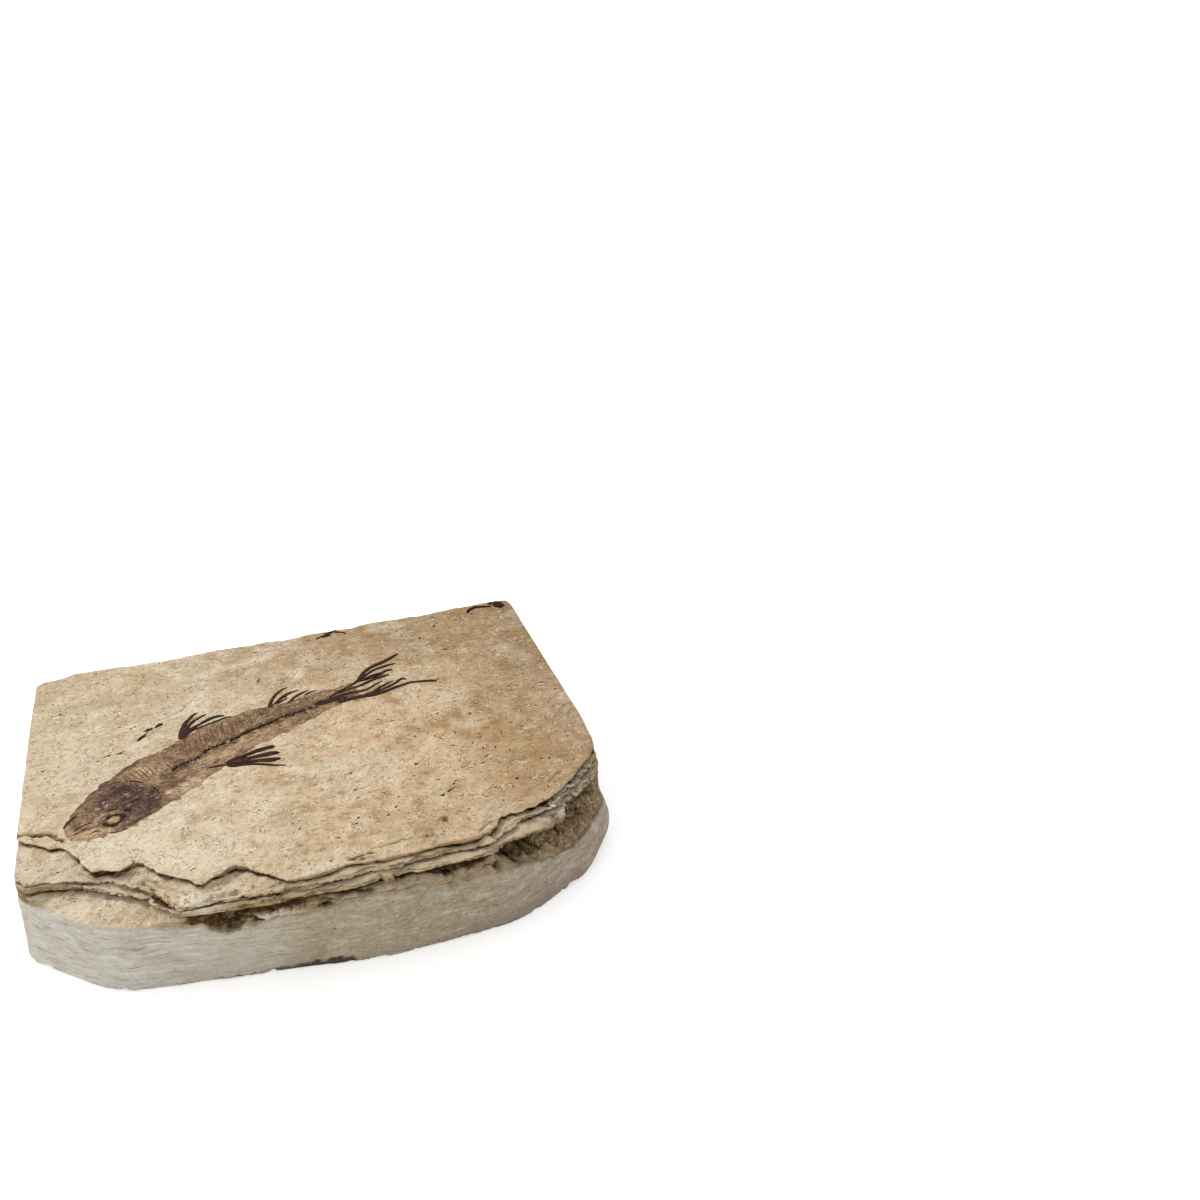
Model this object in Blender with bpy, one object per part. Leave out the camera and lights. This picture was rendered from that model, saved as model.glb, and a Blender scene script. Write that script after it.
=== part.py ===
"""Fossil fish slab: a hand-sized piece of fine-grained limestone, split along its bedding, with one
small fish lying in its top face and two scraps of other specimens at its back edge.

World frame: +X along the slab's long edge, +Y to the back, +Z up, the origin on the resting face
under the middle of the bounding box. Lengths below are millimetres; MM turns them into metres.
"""
import math

import bmesh
import bpy
from mathutils import Euler, Matrix, Vector

MM = 0.001

# Driving dimensions of the stone
LENGTH = 111.6
DEPTH = 92.0
HEIGHT = 20.0
HALF_LENGTH = LENGTH / 2
HALF_DEPTH = DEPTH / 2
BACK_NARROWING = 0.7        # how much nearer the middle each side is at the back than at the front
LEFT_LEAN_BACK = 0.3        # how far the left side leans in, bottom to top, at its back and front
LEFT_LEAN_FRONT = 1.6
FRONT_LEFT_Y = -23.8        # where the left side ends in its ground corner
BLOCK_TOP = 16.3            # where the solid block ends and the split laminae start
BASE_LAMINA_TOP = 17.6
MIDDLE_LAMINA_TOP = 18.9
BEYOND = 70.0               # cutters run this far, past every side
ARC_STEP = math.radians(9)

# The sawn outline: corner x, y and the radius that the corner is ground to
SAWN_CORNERS = [
    (-HALF_LENGTH + BACK_NARROWING, HALF_DEPTH, 2.5),
    (-HALF_LENGTH, FRONT_LEFT_Y, 4.0),
    (-40.6, -37.9, 18.0),
    (8.0, -HALF_DEPTH - 0.07, 30.0),
    (31.5, -45.5, 16.0),
    (48.5, -37.2, 14.0),
    (HALF_LENGTH, -26.5, 6.0),
    (HALF_LENGTH - BACK_NARROWING, HALF_DEPTH, 0.8),
]

# Broken front edges of the laminae, left to right
TOP_BREAK = [
    (-56.0, -13.5), (-50.0, -15.5), (-46.4, -18.0), (-45.6, -20.6), (-43.5, -23.2), (-41.5, -26.0),
    (-39.0, -28.2), (-36.0, -29.3), (-34.0, -28.3), (-31.0, -30.3), (-28.0, -33.5), (-25.5, -35.0),
    (-22.5, -38.0), (-20.0, -37.0), (-17.5, -35.2), (-15.0, -35.8), (-11.5, -40.0), (-5.0, -43.3),
    (10.0, -43.6), (24.0, -43.6), (28.5, -41.0), (30.6, -38.8), (36.0, -38.2), (40.5, -36.3),
    (44.0, -34.5), (47.5, -31.0), (52.5, -26.8), (54.4, -24.4), (55.4, -22.0), (58.0, -19.0),
]
MIDDLE_BREAK = [
    (-56.0, -21.0), (-52.5, -22.5), (-47.0, -24.0), (-44.0, -25.7), (-40.0, -29.0), (-36.0, -30.8),
    (-32.5, -31.8), (-29.0, -35.0), (-25.0, -38.5), (-22.0, -40.3), (-17.0, -39.5), (-12.0, -42.2),
    (-5.0, -44.0), (10.0, -44.7), (24.0, -44.9), (29.0, -42.8), (34.0, -39.6), (38.0, -39.2),
    (41.5, -37.4), (45.0, -35.6), (48.8, -32.0), (52.0, -29.0), (54.2, -26.6), (55.2, -24.5),
    (58.0, -21.5),
]
BASE_BREAK = [
    (-56.0, -24.0), (-50.0, -24.8), (-44.0, -26.8), (-38.0, -30.0), (-35.0, -31.7), (-31.5, -34.0),
    (-28.0, -38.7), (-24.5, -41.5), (-15.0, -43.0), (-5.0, -44.6), (10.0, -45.6), (24.0, -45.6),
    (28.5, -43.4), (33.0, -42.0), (37.5, -40.7), (40.5, -40.8), (43.0, -38.9), (46.5, -34.6),
    (50.5, -31.3), (53.2, -29.3), (54.4, -27.5), (58.0, -24.0),
]

# Open bedding crack under the laminae, hollow below them at the front right, chips, broken corner
CRACK = [(-26.0, -50.0), (-24.0, -39.0), (-10.0, -41.5), (8.0, -43.4), (24.0, -43.2), (29.0, -50.0)]
CRACK_Z = (BLOCK_TOP, 16.9)
HOLLOW = [
    (27.0, -50.0), (28.5, -42.0), (31.5, -39.6), (36.0, -38.3), (40.0, -37.4), (43.5, -36.2),
    (47.0, -50.0),
]
HOLLOW_Z = (13.2, 17.0)
CHIPS = [                   # shallow flaked hollows in the sawn front: middle, then half sizes
    ((-21.0, -42.3, 12.8), (3.4, 1.2, 2.4)),
    ((-13.5, -43.4, 14.6), (4.2, 0.9, 1.4)),
    ((-2.5, -44.7, 14.8), (2.6, 0.8, 1.1)),
    ((23.0, -46.0, 14.6), (4.8, 1.0, 1.5)),
]
BROKEN_FACE_START = (39.0, -41.8)    # the break runs from here to the right side
BROKEN_FACE_END = (HALF_LENGTH, -27.0)
BROKEN_FACE_LOW = 11.0
BROKEN_FACE_TILT = math.radians(16)

# Fossils: they lie in pockets in the top face, their upper sides just proud of it
CLEARANCE = 0.3
POCKET_FLOOR = 19.0
FOSSIL_LOW = POCKET_FLOOR + CLEARANCE
FILM_TOP = HEIGHT + 0.12
RAY_TOP = HEIGHT + 0.2
BONE_TOP = HEIGHT + 0.3
EYE = (-37.3, -13.5)
EYE_RADIUS = 1.5
EYE_FLOOR = HEIGHT

# The fish lies belly to the back: outline from the snout along the belly, back along the dorsal side
BODY_OUTLINE = [
    (-44.9, -13.0), (-44.4, -9.0), (-42.2, -4.4), (-38.0, 1.5), (-34.5, 4.5), (-31.0, 6.8),
    (-27.0, 8.0), (-23.0, 12.3), (-17.0, 14.5), (-12.0, 15.3), (-8.0, 16.9), (0.0, 17.4),
    (6.0, 18.2), (9.5, 17.2), (11.0, 14.0), (9.0, 11.4), (5.0, 9.3), (2.0, 6.7), (-4.0, 4.2),
    (-10.0, 1.0), (-16.5, -4.0), (-20.0, -7.0), (-23.5, -10.5), (-27.5, -12.5), (-30.5, -15.0),
    (-34.0, -17.0), (-37.0, -18.2), (-41.0, -17.6), (-43.8, -17.4), (-44.6, -15.5),
]
SKULL_OUTLINE = [
    (-43.4, -9.6), (-41.5, -5.0), (-39.0, -2.0), (-36.0, -1.3), (-33.0, -2.5), (-30.5, -5.0),
    (-28.4, -8.2), (-29.2, -11.6), (-32.0, -14.6), (-35.5, -16.4), (-38.6, -15.9), (-39.6, -13.0),
    (-41.2, -11.4),
]
BACKBONE = [
    (-29.0, -2.6), (-24.0, 0.5), (-20.0, 3.4), (-14.0, 6.0), (-9.0, 8.5), (-4.0, 10.8), (3.0, 12.8),
    (9.0, 14.2),
]
BACKBONE_WIDTHS = (0.8, 1.3, 1.0)
RIB_COUNT = 11
RIB_ROOTS = ((-27.5, -1.2), (-13.0, 6.6))      # first and last rib's root on the backbone
RIB_TIPS = ((-29.5, 4.6), (-13.5, 13.2))
RIB_WIDTHS = (0.45, 0.4, 0.3)
DORSAL_RAYS = [
    [(-21.0, -3.0), (-16.0, -2.2), (-12.0, -0.7), (-6.3, 0.4)],
    [(-20.5, -3.6), (-14.5, -2.4), (-10.0, -2.1), (-5.5, -2.2)],
    [(-20.0, -4.4), (-14.0, -3.2), (-10.0, -3.9), (-5.5, -4.6)],
    [(-19.5, -5.4), (-15.0, -4.2), (-10.0, -5.8), (-4.7, -7.6)],
]
DORSAL_WIDTHS = (0.5, 1.0, 0.35)
PELVIC_RAYS = [
    [(-25.5, 8.6), (-24.3, 13.5), (-23.0, 17.0), (-21.0, 19.8)],
    [(-25.0, 8.6), (-23.0, 14.0), (-21.5, 16.5), (-19.2, 18.0)],
    [(-24.5, 8.6), (-22.6, 12.6), (-19.5, 15.2), (-15.5, 16.4)],
]
ANAL_RAYS = [
    [(-6.6, 14.6), (-5.8, 17.3), (-4.0, 21.0), (-1.4, 23.0)],
    [(-6.0, 14.6), (-4.2, 17.4), (-2.0, 19.6), (0.8, 20.8)],
    [(-3.5, 14.6), (-1.8, 17.0), (0.0, 18.6), (3.0, 20.0)],
]
TAIL_RAYS = [
    [(6.5, 14.6), (12.0, 18.5), (15.0, 22.5), (17.5, 24.9), (24.3, 28.4)],
    [(6.5, 14.8), (12.5, 18.7), (16.0, 22.0), (19.0, 23.7), (23.0, 24.5)],
    [(6.5, 14.4), (13.0, 18.6), (17.5, 21.0), (21.8, 21.8)],
    [(6.5, 14.0), (13.0, 17.3), (16.5, 18.9), (20.8, 20.0)],
    [(6.5, 13.6), (11.0, 15.2), (15.0, 15.8), (19.0, 17.8)],
    [(6.5, 13.2), (12.0, 13.6), (17.0, 14.9), (21.0, 17.0)],
    [(6.5, 12.8), (14.0, 13.2), (19.0, 14.8), (24.0, 16.8)],
    [(6.5, 12.4), (14.0, 12.7), (20.0, 13.8), (25.0, 14.9), (30.3, 13.7)],
]
FIN_WIDTHS = (0.5, 0.7, 0.3)
FIN_SCRAP = [(7.0, 42.0), (9.6, 43.9), (13.2, 45.2)]
FIN_SCRAP_BRANCH = [(9.6, 43.9), (12.4, 43.8), (14.3, 42.2)]
SCRAP_WIDTHS = (0.5, 0.8, 0.4)
BONE_SCRAP = [(49.3, 41.3), (52.0, 42.0), (54.0, 42.6), (53.6, 45.0), (50.4, 44.9)]
BONE_SCRAP_SPINE = [(43.8, 41.7), (45.0, 43.3), (47.0, 43.9), (48.8, 43.2), (50.6, 43.2)]


# Construction helpers

def arc_corner(before, corner, after, radius):
    """Points of the arc that rounds a corner, tangent to both of its sides."""
    point = Vector(corner)
    to_before = (Vector(before) - point).normalized()
    to_after = (Vector(after) - point).normalized()
    half_angle = to_before.angle(to_after) / 2
    centre = point + (to_before + to_after).normalized() * (radius / math.sin(half_angle))
    reach = radius / math.tan(half_angle)
    start = point + to_before * reach - centre
    sweep = start.angle_signed(point + to_after * reach - centre)
    steps = max(2, math.ceil(abs(sweep) / ARC_STEP))
    return [centre + start @ Matrix.Rotation(sweep * i / steps, 2) for i in range(steps + 1)]


def rounded_outline(corners):
    outline = []
    for i, (x, y, radius) in enumerate(corners):
        before = corners[i - 1][:2]
        after = corners[(i + 1) % len(corners)][:2]
        outline += arc_corner(before, (x, y), after, radius)
    return outline


def grown_outline(outline, margin):
    """The outline moved outwards by the margin, with its corners mitred."""
    points = [Vector(p) for p in outline]
    area = sum(a.x * b.y - b.x * a.y for a, b in zip(points, points[1:] + points[:1]))
    side = math.copysign(margin, area)
    grown = []
    for i, point in enumerate(points):
        arriving = (point - points[i - 1]).normalized()
        leaving = (points[(i + 1) % len(points)] - point).normalized()
        arriving_normal = Vector((arriving.y, -arriving.x))
        leaving_normal = Vector((leaving.y, -leaving.x))
        mitre = (arriving_normal + leaving_normal).normalized()
        grown.append(point + mitre * (side / max(0.5, mitre.dot(leaving_normal))))
    return grown


def strip_outline(path, widths, margin=0.0):
    """Outline of a bone that follows a path, with its widths at the root, the middle and the tip."""
    points = [Vector(p) for p in path]
    start = (points[0] - points[1]).normalized() * margin
    end = (points[-1] - points[-2]).normalized() * margin
    lengths = [0.0]
    for a, b in zip(points, points[1:]):
        lengths.append(lengths[-1] + (b - a).length)
    root, middle, tip = widths
    left, right = [], []
    for i, point in enumerate(points):
        along = points[min(i + 1, len(points) - 1)] - points[max(i - 1, 0)]
        across = Vector((-along.y, along.x)).normalized()
        t = lengths[i] / lengths[-1]
        width = root + (middle - root) * t * 2 if t < 0.5 else middle + (tip - middle) * (t * 2 - 1)
        shift = start if i == 0 else end if i == len(points) - 1 else Vector((0.0, 0.0))
        left.append(point + shift + across * (width / 2 + margin))
        right.append(point + shift - across * (width / 2 + margin))
    return left + right[::-1]


def front_of(break_line):
    """Everything in front of a broken edge, as a closed outline."""
    left, right = break_line[0][1], break_line[-1][1]
    return break_line + [(BEYOND, right), (BEYOND, -BEYOND), (-BEYOND, -BEYOND), (-BEYOND, left)]


def plate(name, outline, z_low, z_high, collection):
    """A flat outline of millimetre points, filled and extruded between two heights."""
    curve = bpy.data.curves.new(name, "CURVE")
    curve.dimensions = "2D"
    curve.fill_mode = "BOTH"
    curve.extrude = (z_high - z_low) / 2 * MM
    spline = curve.splines.new("POLY")
    spline.points.add(len(outline) - 1)
    for point, (x, y) in zip(spline.points, outline):
        point.co = (x * MM, y * MM, 0, 1)
    spline.use_cyclic_u = True
    drawn = bpy.data.objects.new(name + "_outline", curve)
    drawn.location.z = (z_low + z_high) / 2 * MM
    bpy.context.scene.collection.objects.link(drawn)
    depsgraph = bpy.context.evaluated_depsgraph_get()
    mesh = bpy.data.meshes.new_from_object(drawn.evaluated_get(depsgraph))
    bm = bmesh.new()
    bm.from_mesh(mesh)
    bmesh.ops.remove_doubles(bm, verts=bm.verts, dist=1e-6)
    bm.to_mesh(mesh)
    bm.free()
    solid = bpy.data.objects.new(name, mesh)
    solid.matrix_world = drawn.matrix_world
    collection.objects.link(solid)
    bpy.data.objects.remove(drawn)
    bpy.data.curves.remove(curve)
    return solid


def move_to(obj, collection):
    for other in list(obj.users_collection):
        other.objects.unlink(obj)
    collection.objects.link(obj)


def hide_cutter(cutter):
    cutter.hide_render = True
    cutter.display_type = "WIRE"


def combine(target, operation, collection):
    """Join or cut the target with every solid of a collection."""
    modifier = target.modifiers.new(operation.title(), "BOOLEAN")
    modifier.operation = operation
    modifier.solver = "EXACT"
    modifier.operand_type = "COLLECTION"
    modifier.collection = collection


def new_collection(name, parent):
    collection = bpy.data.collections.new(name)
    parent.children.link(collection)
    return collection


def make_material(name, colour, roughness):
    material = bpy.data.materials.new(name)
    material.use_nodes = True
    shader = material.node_tree.nodes["Principled BSDF"]
    shader.inputs["Base Color"].default_value = (*colour, 1)
    shader.inputs["Roughness"].default_value = roughness
    shader.inputs["Metallic"].default_value = 0.0
    material.diffuse_color = (*colour, 1)
    return material


# The stone: its leaning side and its cutters

def lean_left_side(slab):
    """Move the top of the left side inwards, more at the front than at the back."""
    for vert in slab.data.vertices:
        x, y = vert.co.x / MM, vert.co.y / MM
        if vert.co.z > 0 and x < 0:
            towards_front = (HALF_DEPTH - y) / (HALF_DEPTH - FRONT_LEFT_Y)
            lean = LEFT_LEAN_BACK + (LEFT_LEAN_FRONT - LEFT_LEAN_BACK) * min(1, towards_front)
            vert.co.x += lean * min(1, -x / HALF_LENGTH) ** 4 * MM

def cut_laminae(cutters):
    levels = [(TOP_BREAK, MIDDLE_LAMINA_TOP), (MIDDLE_BREAK, BASE_LAMINA_TOP), (BASE_BREAK, BLOCK_TOP)]
    for i, (break_line, floor) in enumerate(levels):
        hide_cutter(plate(f"lamina_step_{i}", front_of(break_line), floor, HEIGHT + 5 + i, cutters))


def cut_front(cutters):
    hide_cutter(plate("bedding_crack", CRACK, *CRACK_Z, cutters))
    hide_cutter(plate("hollow_under_laminae", HOLLOW, *HOLLOW_Z, cutters))
    for i, (middle, half_sizes) in enumerate(CHIPS):
        bpy.ops.mesh.primitive_uv_sphere_add(segments=14, ring_count=8, location=Vector(middle) * MM,
                                             scale=Vector(half_sizes) * MM)
        chip = bpy.context.object
        chip.name = f"chip_{i}"
        move_to(chip, cutters)
        hide_cutter(chip)


def cut_broken_corner(cutters):
    """A leaning break from the front right round to the right side, above the lower half."""
    start, end = Vector(BROKEN_FACE_START), Vector(BROKEN_FACE_END)
    run = end - start
    size = Vector((run.length + 10, 20, 20))
    turn = Euler((-BROKEN_FACE_TILT, 0, math.atan2(run.y, run.x))).to_matrix()
    middle = (start + end) / 2 + run.normalized() * 6
    foot = Vector((middle.x, middle.y, BROKEN_FACE_LOW))
    centre = foot + turn @ Vector((0, -size.y / 2, size.z / 2))
    bpy.ops.mesh.primitive_cube_add(size=1, location=centre * MM, rotation=turn.to_euler(), scale=size * MM)
    cutter = bpy.context.object
    cutter.name = "broken_corner"
    move_to(cutter, cutters)
    hide_cutter(cutter)


# The fossils: each bone is a path, its widths and its top, for the bone itself and for its pocket

def fish_bones():
    bones = [(BACKBONE, BACKBONE_WIDTHS, BONE_TOP)]
    for i in range(RIB_COUNT):
        t = i / (RIB_COUNT - 1)
        root = Vector(RIB_ROOTS[0]).lerp(Vector(RIB_ROOTS[1]), t)
        tip = Vector(RIB_TIPS[0]).lerp(Vector(RIB_TIPS[1]), t)
        bones.append(([root, tip], RIB_WIDTHS, RAY_TOP))
    bones += [(path, DORSAL_WIDTHS, RAY_TOP) for path in DORSAL_RAYS]
    bones += [(path, FIN_WIDTHS, RAY_TOP) for path in PELVIC_RAYS + ANAL_RAYS + TAIL_RAYS]
    return bones


def build_slab(parts, cutters, material):
    slab = plate("limestone_slab", rounded_outline(SAWN_CORNERS), 0.0, HEIGHT, parts)
    slab.data.materials.append(material)
    lean_left_side(slab)
    cut_laminae(cutters)
    cut_front(cutters)
    cut_broken_corner(cutters)
    cut_pockets(cutters)
    return slab


def cut_pockets(cutters):
    """A recess under each fossil, larger by the clearance all round."""
    top = HEIGHT + 2
    hide_cutter(plate("body_pocket", grown_outline(BODY_OUTLINE, CLEARANCE), POCKET_FLOOR, top, cutters))
    hide_cutter(plate("scrap_pocket", grown_outline(BONE_SCRAP, CLEARANCE), POCKET_FLOOR, top, cutters))
    strips = fish_bones()
    strips += [(path, SCRAP_WIDTHS, RAY_TOP) for path in (FIN_SCRAP, FIN_SCRAP_BRANCH, BONE_SCRAP_SPINE)]
    for i, (path, widths, _) in enumerate(strips):
        outline = strip_outline(path, widths, CLEARANCE)
        hide_cutter(plate(f"bone_pocket_{i}", outline, POCKET_FLOOR, top + 0.01 * (i + 1), cutters))


def build_fish(parts, pieces, cutters, material):
    fish = plate("fish_fossil", BODY_OUTLINE, FOSSIL_LOW, FILM_TOP, parts)
    fish.data.materials.append(material)
    hide_cutter(plate("skull", SKULL_OUTLINE, FOSSIL_LOW + 0.1, BONE_TOP, pieces))
    for i, (path, widths, top) in enumerate(fish_bones()):
        low = FOSSIL_LOW + 0.1 + 0.004 * i
        hide_cutter(plate(f"bone_{i}", strip_outline(path, widths), low, top + 0.002 * i, pieces))
    bpy.ops.mesh.primitive_cylinder_add(vertices=20, radius=EYE_RADIUS * MM, depth=2 * MM,
                                        location=(EYE[0] * MM, EYE[1] * MM, (EYE_FLOOR + 1) * MM))
    eye = bpy.context.object
    eye.name = "eye_socket"
    move_to(eye, cutters)
    hide_cutter(eye)
    return fish


def build_scrap(name, main, branch, parts, pieces, material):
    """One scrap of bone: its main outline with one thinner bone joined to it."""
    scrap = plate(name, main, FOSSIL_LOW, RAY_TOP, parts)
    scrap.data.materials.append(material)
    outline = strip_outline(branch, SCRAP_WIDTHS)
    hide_cutter(plate(name + "_branch", outline, FOSSIL_LOW + 0.1, RAY_TOP - 0.05, pieces))
    return scrap


def build():
    for obj in list(bpy.data.objects):
        bpy.data.objects.remove(obj)
    scene_root = bpy.context.scene.collection
    parts = new_collection("fossil_fish_slab", scene_root)
    stone_cutters = new_collection("stone_cutters", scene_root)
    fish_pieces = new_collection("fish_pieces", scene_root)
    fish_cutters = new_collection("fish_cutters", scene_root)
    fin_scrap_pieces = new_collection("fin_scrap_pieces", scene_root)
    bone_scrap_pieces = new_collection("bone_scrap_pieces", scene_root)
    limestone = make_material("limestone", (0.60, 0.49, 0.35), 0.9)
    fossil_bone = make_material("fossil_bone", (0.16, 0.09, 0.055), 0.6)
    slab = build_slab(parts, stone_cutters, limestone)
    fish = build_fish(parts, fish_pieces, fish_cutters, fossil_bone)
    fin_outline = strip_outline(FIN_SCRAP, SCRAP_WIDTHS)
    fin_scrap = build_scrap("fin_scrap", fin_outline, FIN_SCRAP_BRANCH, parts, fin_scrap_pieces,
                            fossil_bone)
    bone_scrap = build_scrap("bone_scrap", BONE_SCRAP, BONE_SCRAP_SPINE, parts, bone_scrap_pieces,
                             fossil_bone)
    combine(slab, "DIFFERENCE", stone_cutters)
    combine(fish, "UNION", fish_pieces)
    combine(fish, "DIFFERENCE", fish_cutters)
    combine(fin_scrap, "UNION", fin_scrap_pieces)
    combine(bone_scrap, "UNION", bone_scrap_pieces)


build()
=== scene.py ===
"""Looks of the fossil fish slab: the split and sawn limestone, and the small fish and the two scraps of
bone in its top face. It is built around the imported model. Lengths are millimetres until they reach a
mesh."""
import math
import random

import bmesh
import bpy
import numpy as np
from mathutils import Matrix, Vector, bvhtree, noise


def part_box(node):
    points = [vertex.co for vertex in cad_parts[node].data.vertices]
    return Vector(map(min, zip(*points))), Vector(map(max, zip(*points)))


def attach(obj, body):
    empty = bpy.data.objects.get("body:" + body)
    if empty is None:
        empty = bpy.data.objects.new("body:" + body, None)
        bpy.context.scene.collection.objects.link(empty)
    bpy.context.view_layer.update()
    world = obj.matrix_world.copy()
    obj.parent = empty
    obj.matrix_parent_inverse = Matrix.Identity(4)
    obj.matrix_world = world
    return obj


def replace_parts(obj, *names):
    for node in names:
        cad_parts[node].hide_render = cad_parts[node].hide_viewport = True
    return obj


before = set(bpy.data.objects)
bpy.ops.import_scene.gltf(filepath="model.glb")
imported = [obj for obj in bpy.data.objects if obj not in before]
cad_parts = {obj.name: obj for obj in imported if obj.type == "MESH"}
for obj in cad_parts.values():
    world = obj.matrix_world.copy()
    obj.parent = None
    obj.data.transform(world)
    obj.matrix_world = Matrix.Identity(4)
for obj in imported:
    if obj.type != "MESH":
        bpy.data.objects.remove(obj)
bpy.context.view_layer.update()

MM = 0.001

# The stone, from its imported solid
STONE_HIGH = np.array(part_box("limestone_slab")[1]) / MM
SIDE, BACK, TOP = (float(value) for value in STONE_HIGH)

# The front edge is broken back along three bedding planes. Each table follows the lip of one sheet from
# left to right: x, y, the height of its underside, how far the crack beneath it stands open and, below
# the top sheet, the height of its broken edge before the ledge above begins.
TOP_SHEET = [
    (-58, -9, 19.6, 0), (-54.3, -12.7, 19.55, 0.15), (-53.4, -13.8, 19.5, 0.25),
    (-52.5, -14.6, 19.5, 0.3), (-50, -16.5, 19.5, 0.25), (-48.3, -18.1, 19.5, 0.3),
    (-47, -18.2, 19.5, 0.3), (-46.2, -18.6, 19.5, 0.3), (-45.3, -19.6, 19.6, 0.1),
    (-44.6, -20.6, 19.4, 0.5), (-43.7, -22, 19.4, 0.5), (-43, -23.2, 19.4, 0.5),
    (-42.4, -24.8, 19.4, 0.5), (-41.6, -26, 19.4, 0.55), (-40.7, -27.6, 19.4, 0.65),
    (-39.5, -27.8, 19.5, 0.8), (-38.5, -28.1, 19.5, 0.8), (-37, -28.5, 19.5, 0.7),
    (-36, -28.9, 19.5, 0.5), (-35, -28.1, 19.2, 0.3), (-34.2, -27.7, 19.1, 0.25),
    (-33, -27.8, 19.1, 0.25), (-32.3, -28.1, 19.2, 0.25), (-31.5, -29.3, 19.5, 0.25),
    (-30.4, -30.7, 19.6, 0.3), (-28.3, -33, 19.6, 0.3), (-26.5, -34.3, 19.6, 0.2),
    (-25, -35.5, 19.6, 0.2), (-23.5, -37.2, 19.6, 0.25), (-22.3, -38, 19.6, 0.3),
    (-21.2, -37.2, 19.6, 0.3), (-20.4, -36.5, 19.5, 0.3), (-19.6, -36.4, 19.4, 0.3),
    (-18.9, -36, 19.2, 0.3), (-18.2, -35.3, 19, 0.35), (-17.4, -34.9, 18.9, 0.4),
    (-16.4, -34.9, 18.9, 0.4), (-15.2, -35.5, 19, 0.35), (-14.6, -36, 19.2, 0.35), (-14, -37, 19.4, 0.4),
    (-13.2, -38, 19.5, 0.5), (-12.4, -38.6, 19.5, 0.5), (-11.2, -39.3, 19.5, 0.45),
    (-10.2, -40.2, 19.5, 0.35), (-9.4, -41.2, 19.4, 0.25), (-8.4, -42, 19.3, 0.2), (-6, -42.1, 19.1, 0.2),
    (-3, -42.2, 18.95, 0.22), (-0.5, -42, 18.95, 0.25), (0.8, -41.6, 19.05, 0.15),
    (2.4, -41.4, 19.2, 0.15), (3.4, -41.5, 19.3, 0.3), (5, -41.8, 19.25, 0.2), (6.4, -42, 19.1, 0.1),
    (7.3, -41.8, 19.2, 0.35), (8, -42.1, 19.1, 0.25), (10, -42.3, 19.1, 0.2), (11, -42.3, 19.1, 0.04),
    (12, -42.3, 19.1, 0.12), (16, -42.2, 19.2, 0.15), (18.5, -42.1, 19.3, 0.25), (21, -42.2, 19.25, 0.4),
    (22, -42.4, 19.1, 0.45), (24, -42.4, 19.1, 0.4), (26, -42.3, 19.1, 0.35), (27.2, -42, 19.3, 0.1),
    (28, -42.1, 19.4, 0.02), (28.4, -41.8, 19, 0.5), (28.8, -41, 19, 0.6), (29.3, -40.8, 19, 0.6),
    (30, -40.6, 19.2, 0.4), (30.3, -39.9, 19.4, 0.3), (30.7, -38.6, 19.5, 0.4), (31.3, -38.2, 19.6, 0.45),
    (32.3, -38.3, 19.6, 0.4), (33.2, -37.7, 19.6, 0.35), (34.2, -38.1, 19.6, 0.3),
    (35.7, -38.2, 19.6, 0.3), (36.3, -37.6, 19.6, 0.4), (37.3, -37.3, 19.5, 0.5), (38, -37.5, 19.5, 0.35),
    (38.8, -37, 19.5, 0.3), (40, -36.2, 19.4, 0.5), (41, -36.1, 19.4, 0.4), (42, -35.7, 19.5, 0.12),
    (43, -34.9, 19.6, 0.08), (44, -34.2, 19.5, 0.2), (46, -32.6, 19.6, 0.05), (47.6, -31, 19.4, 0.4),
    (48.5, -29.9, 19.4, 0.4), (49.2, -29.2, 19.6, 0.08), (50, -28.6, 19.5, 0.25),
    (50.6, -27.8, 19.4, 0.45), (51.4, -27.2, 19.4, 0.4), (52.6, -26.2, 19.5, 0.1),
    (53.6, -24.6, 19.5, 0.1), (54.6, -22.8, 19.3, 0.35), (55.4, -21.2, 19.6, 0.05), (58, -17, 19.6, 0),
]
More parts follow.
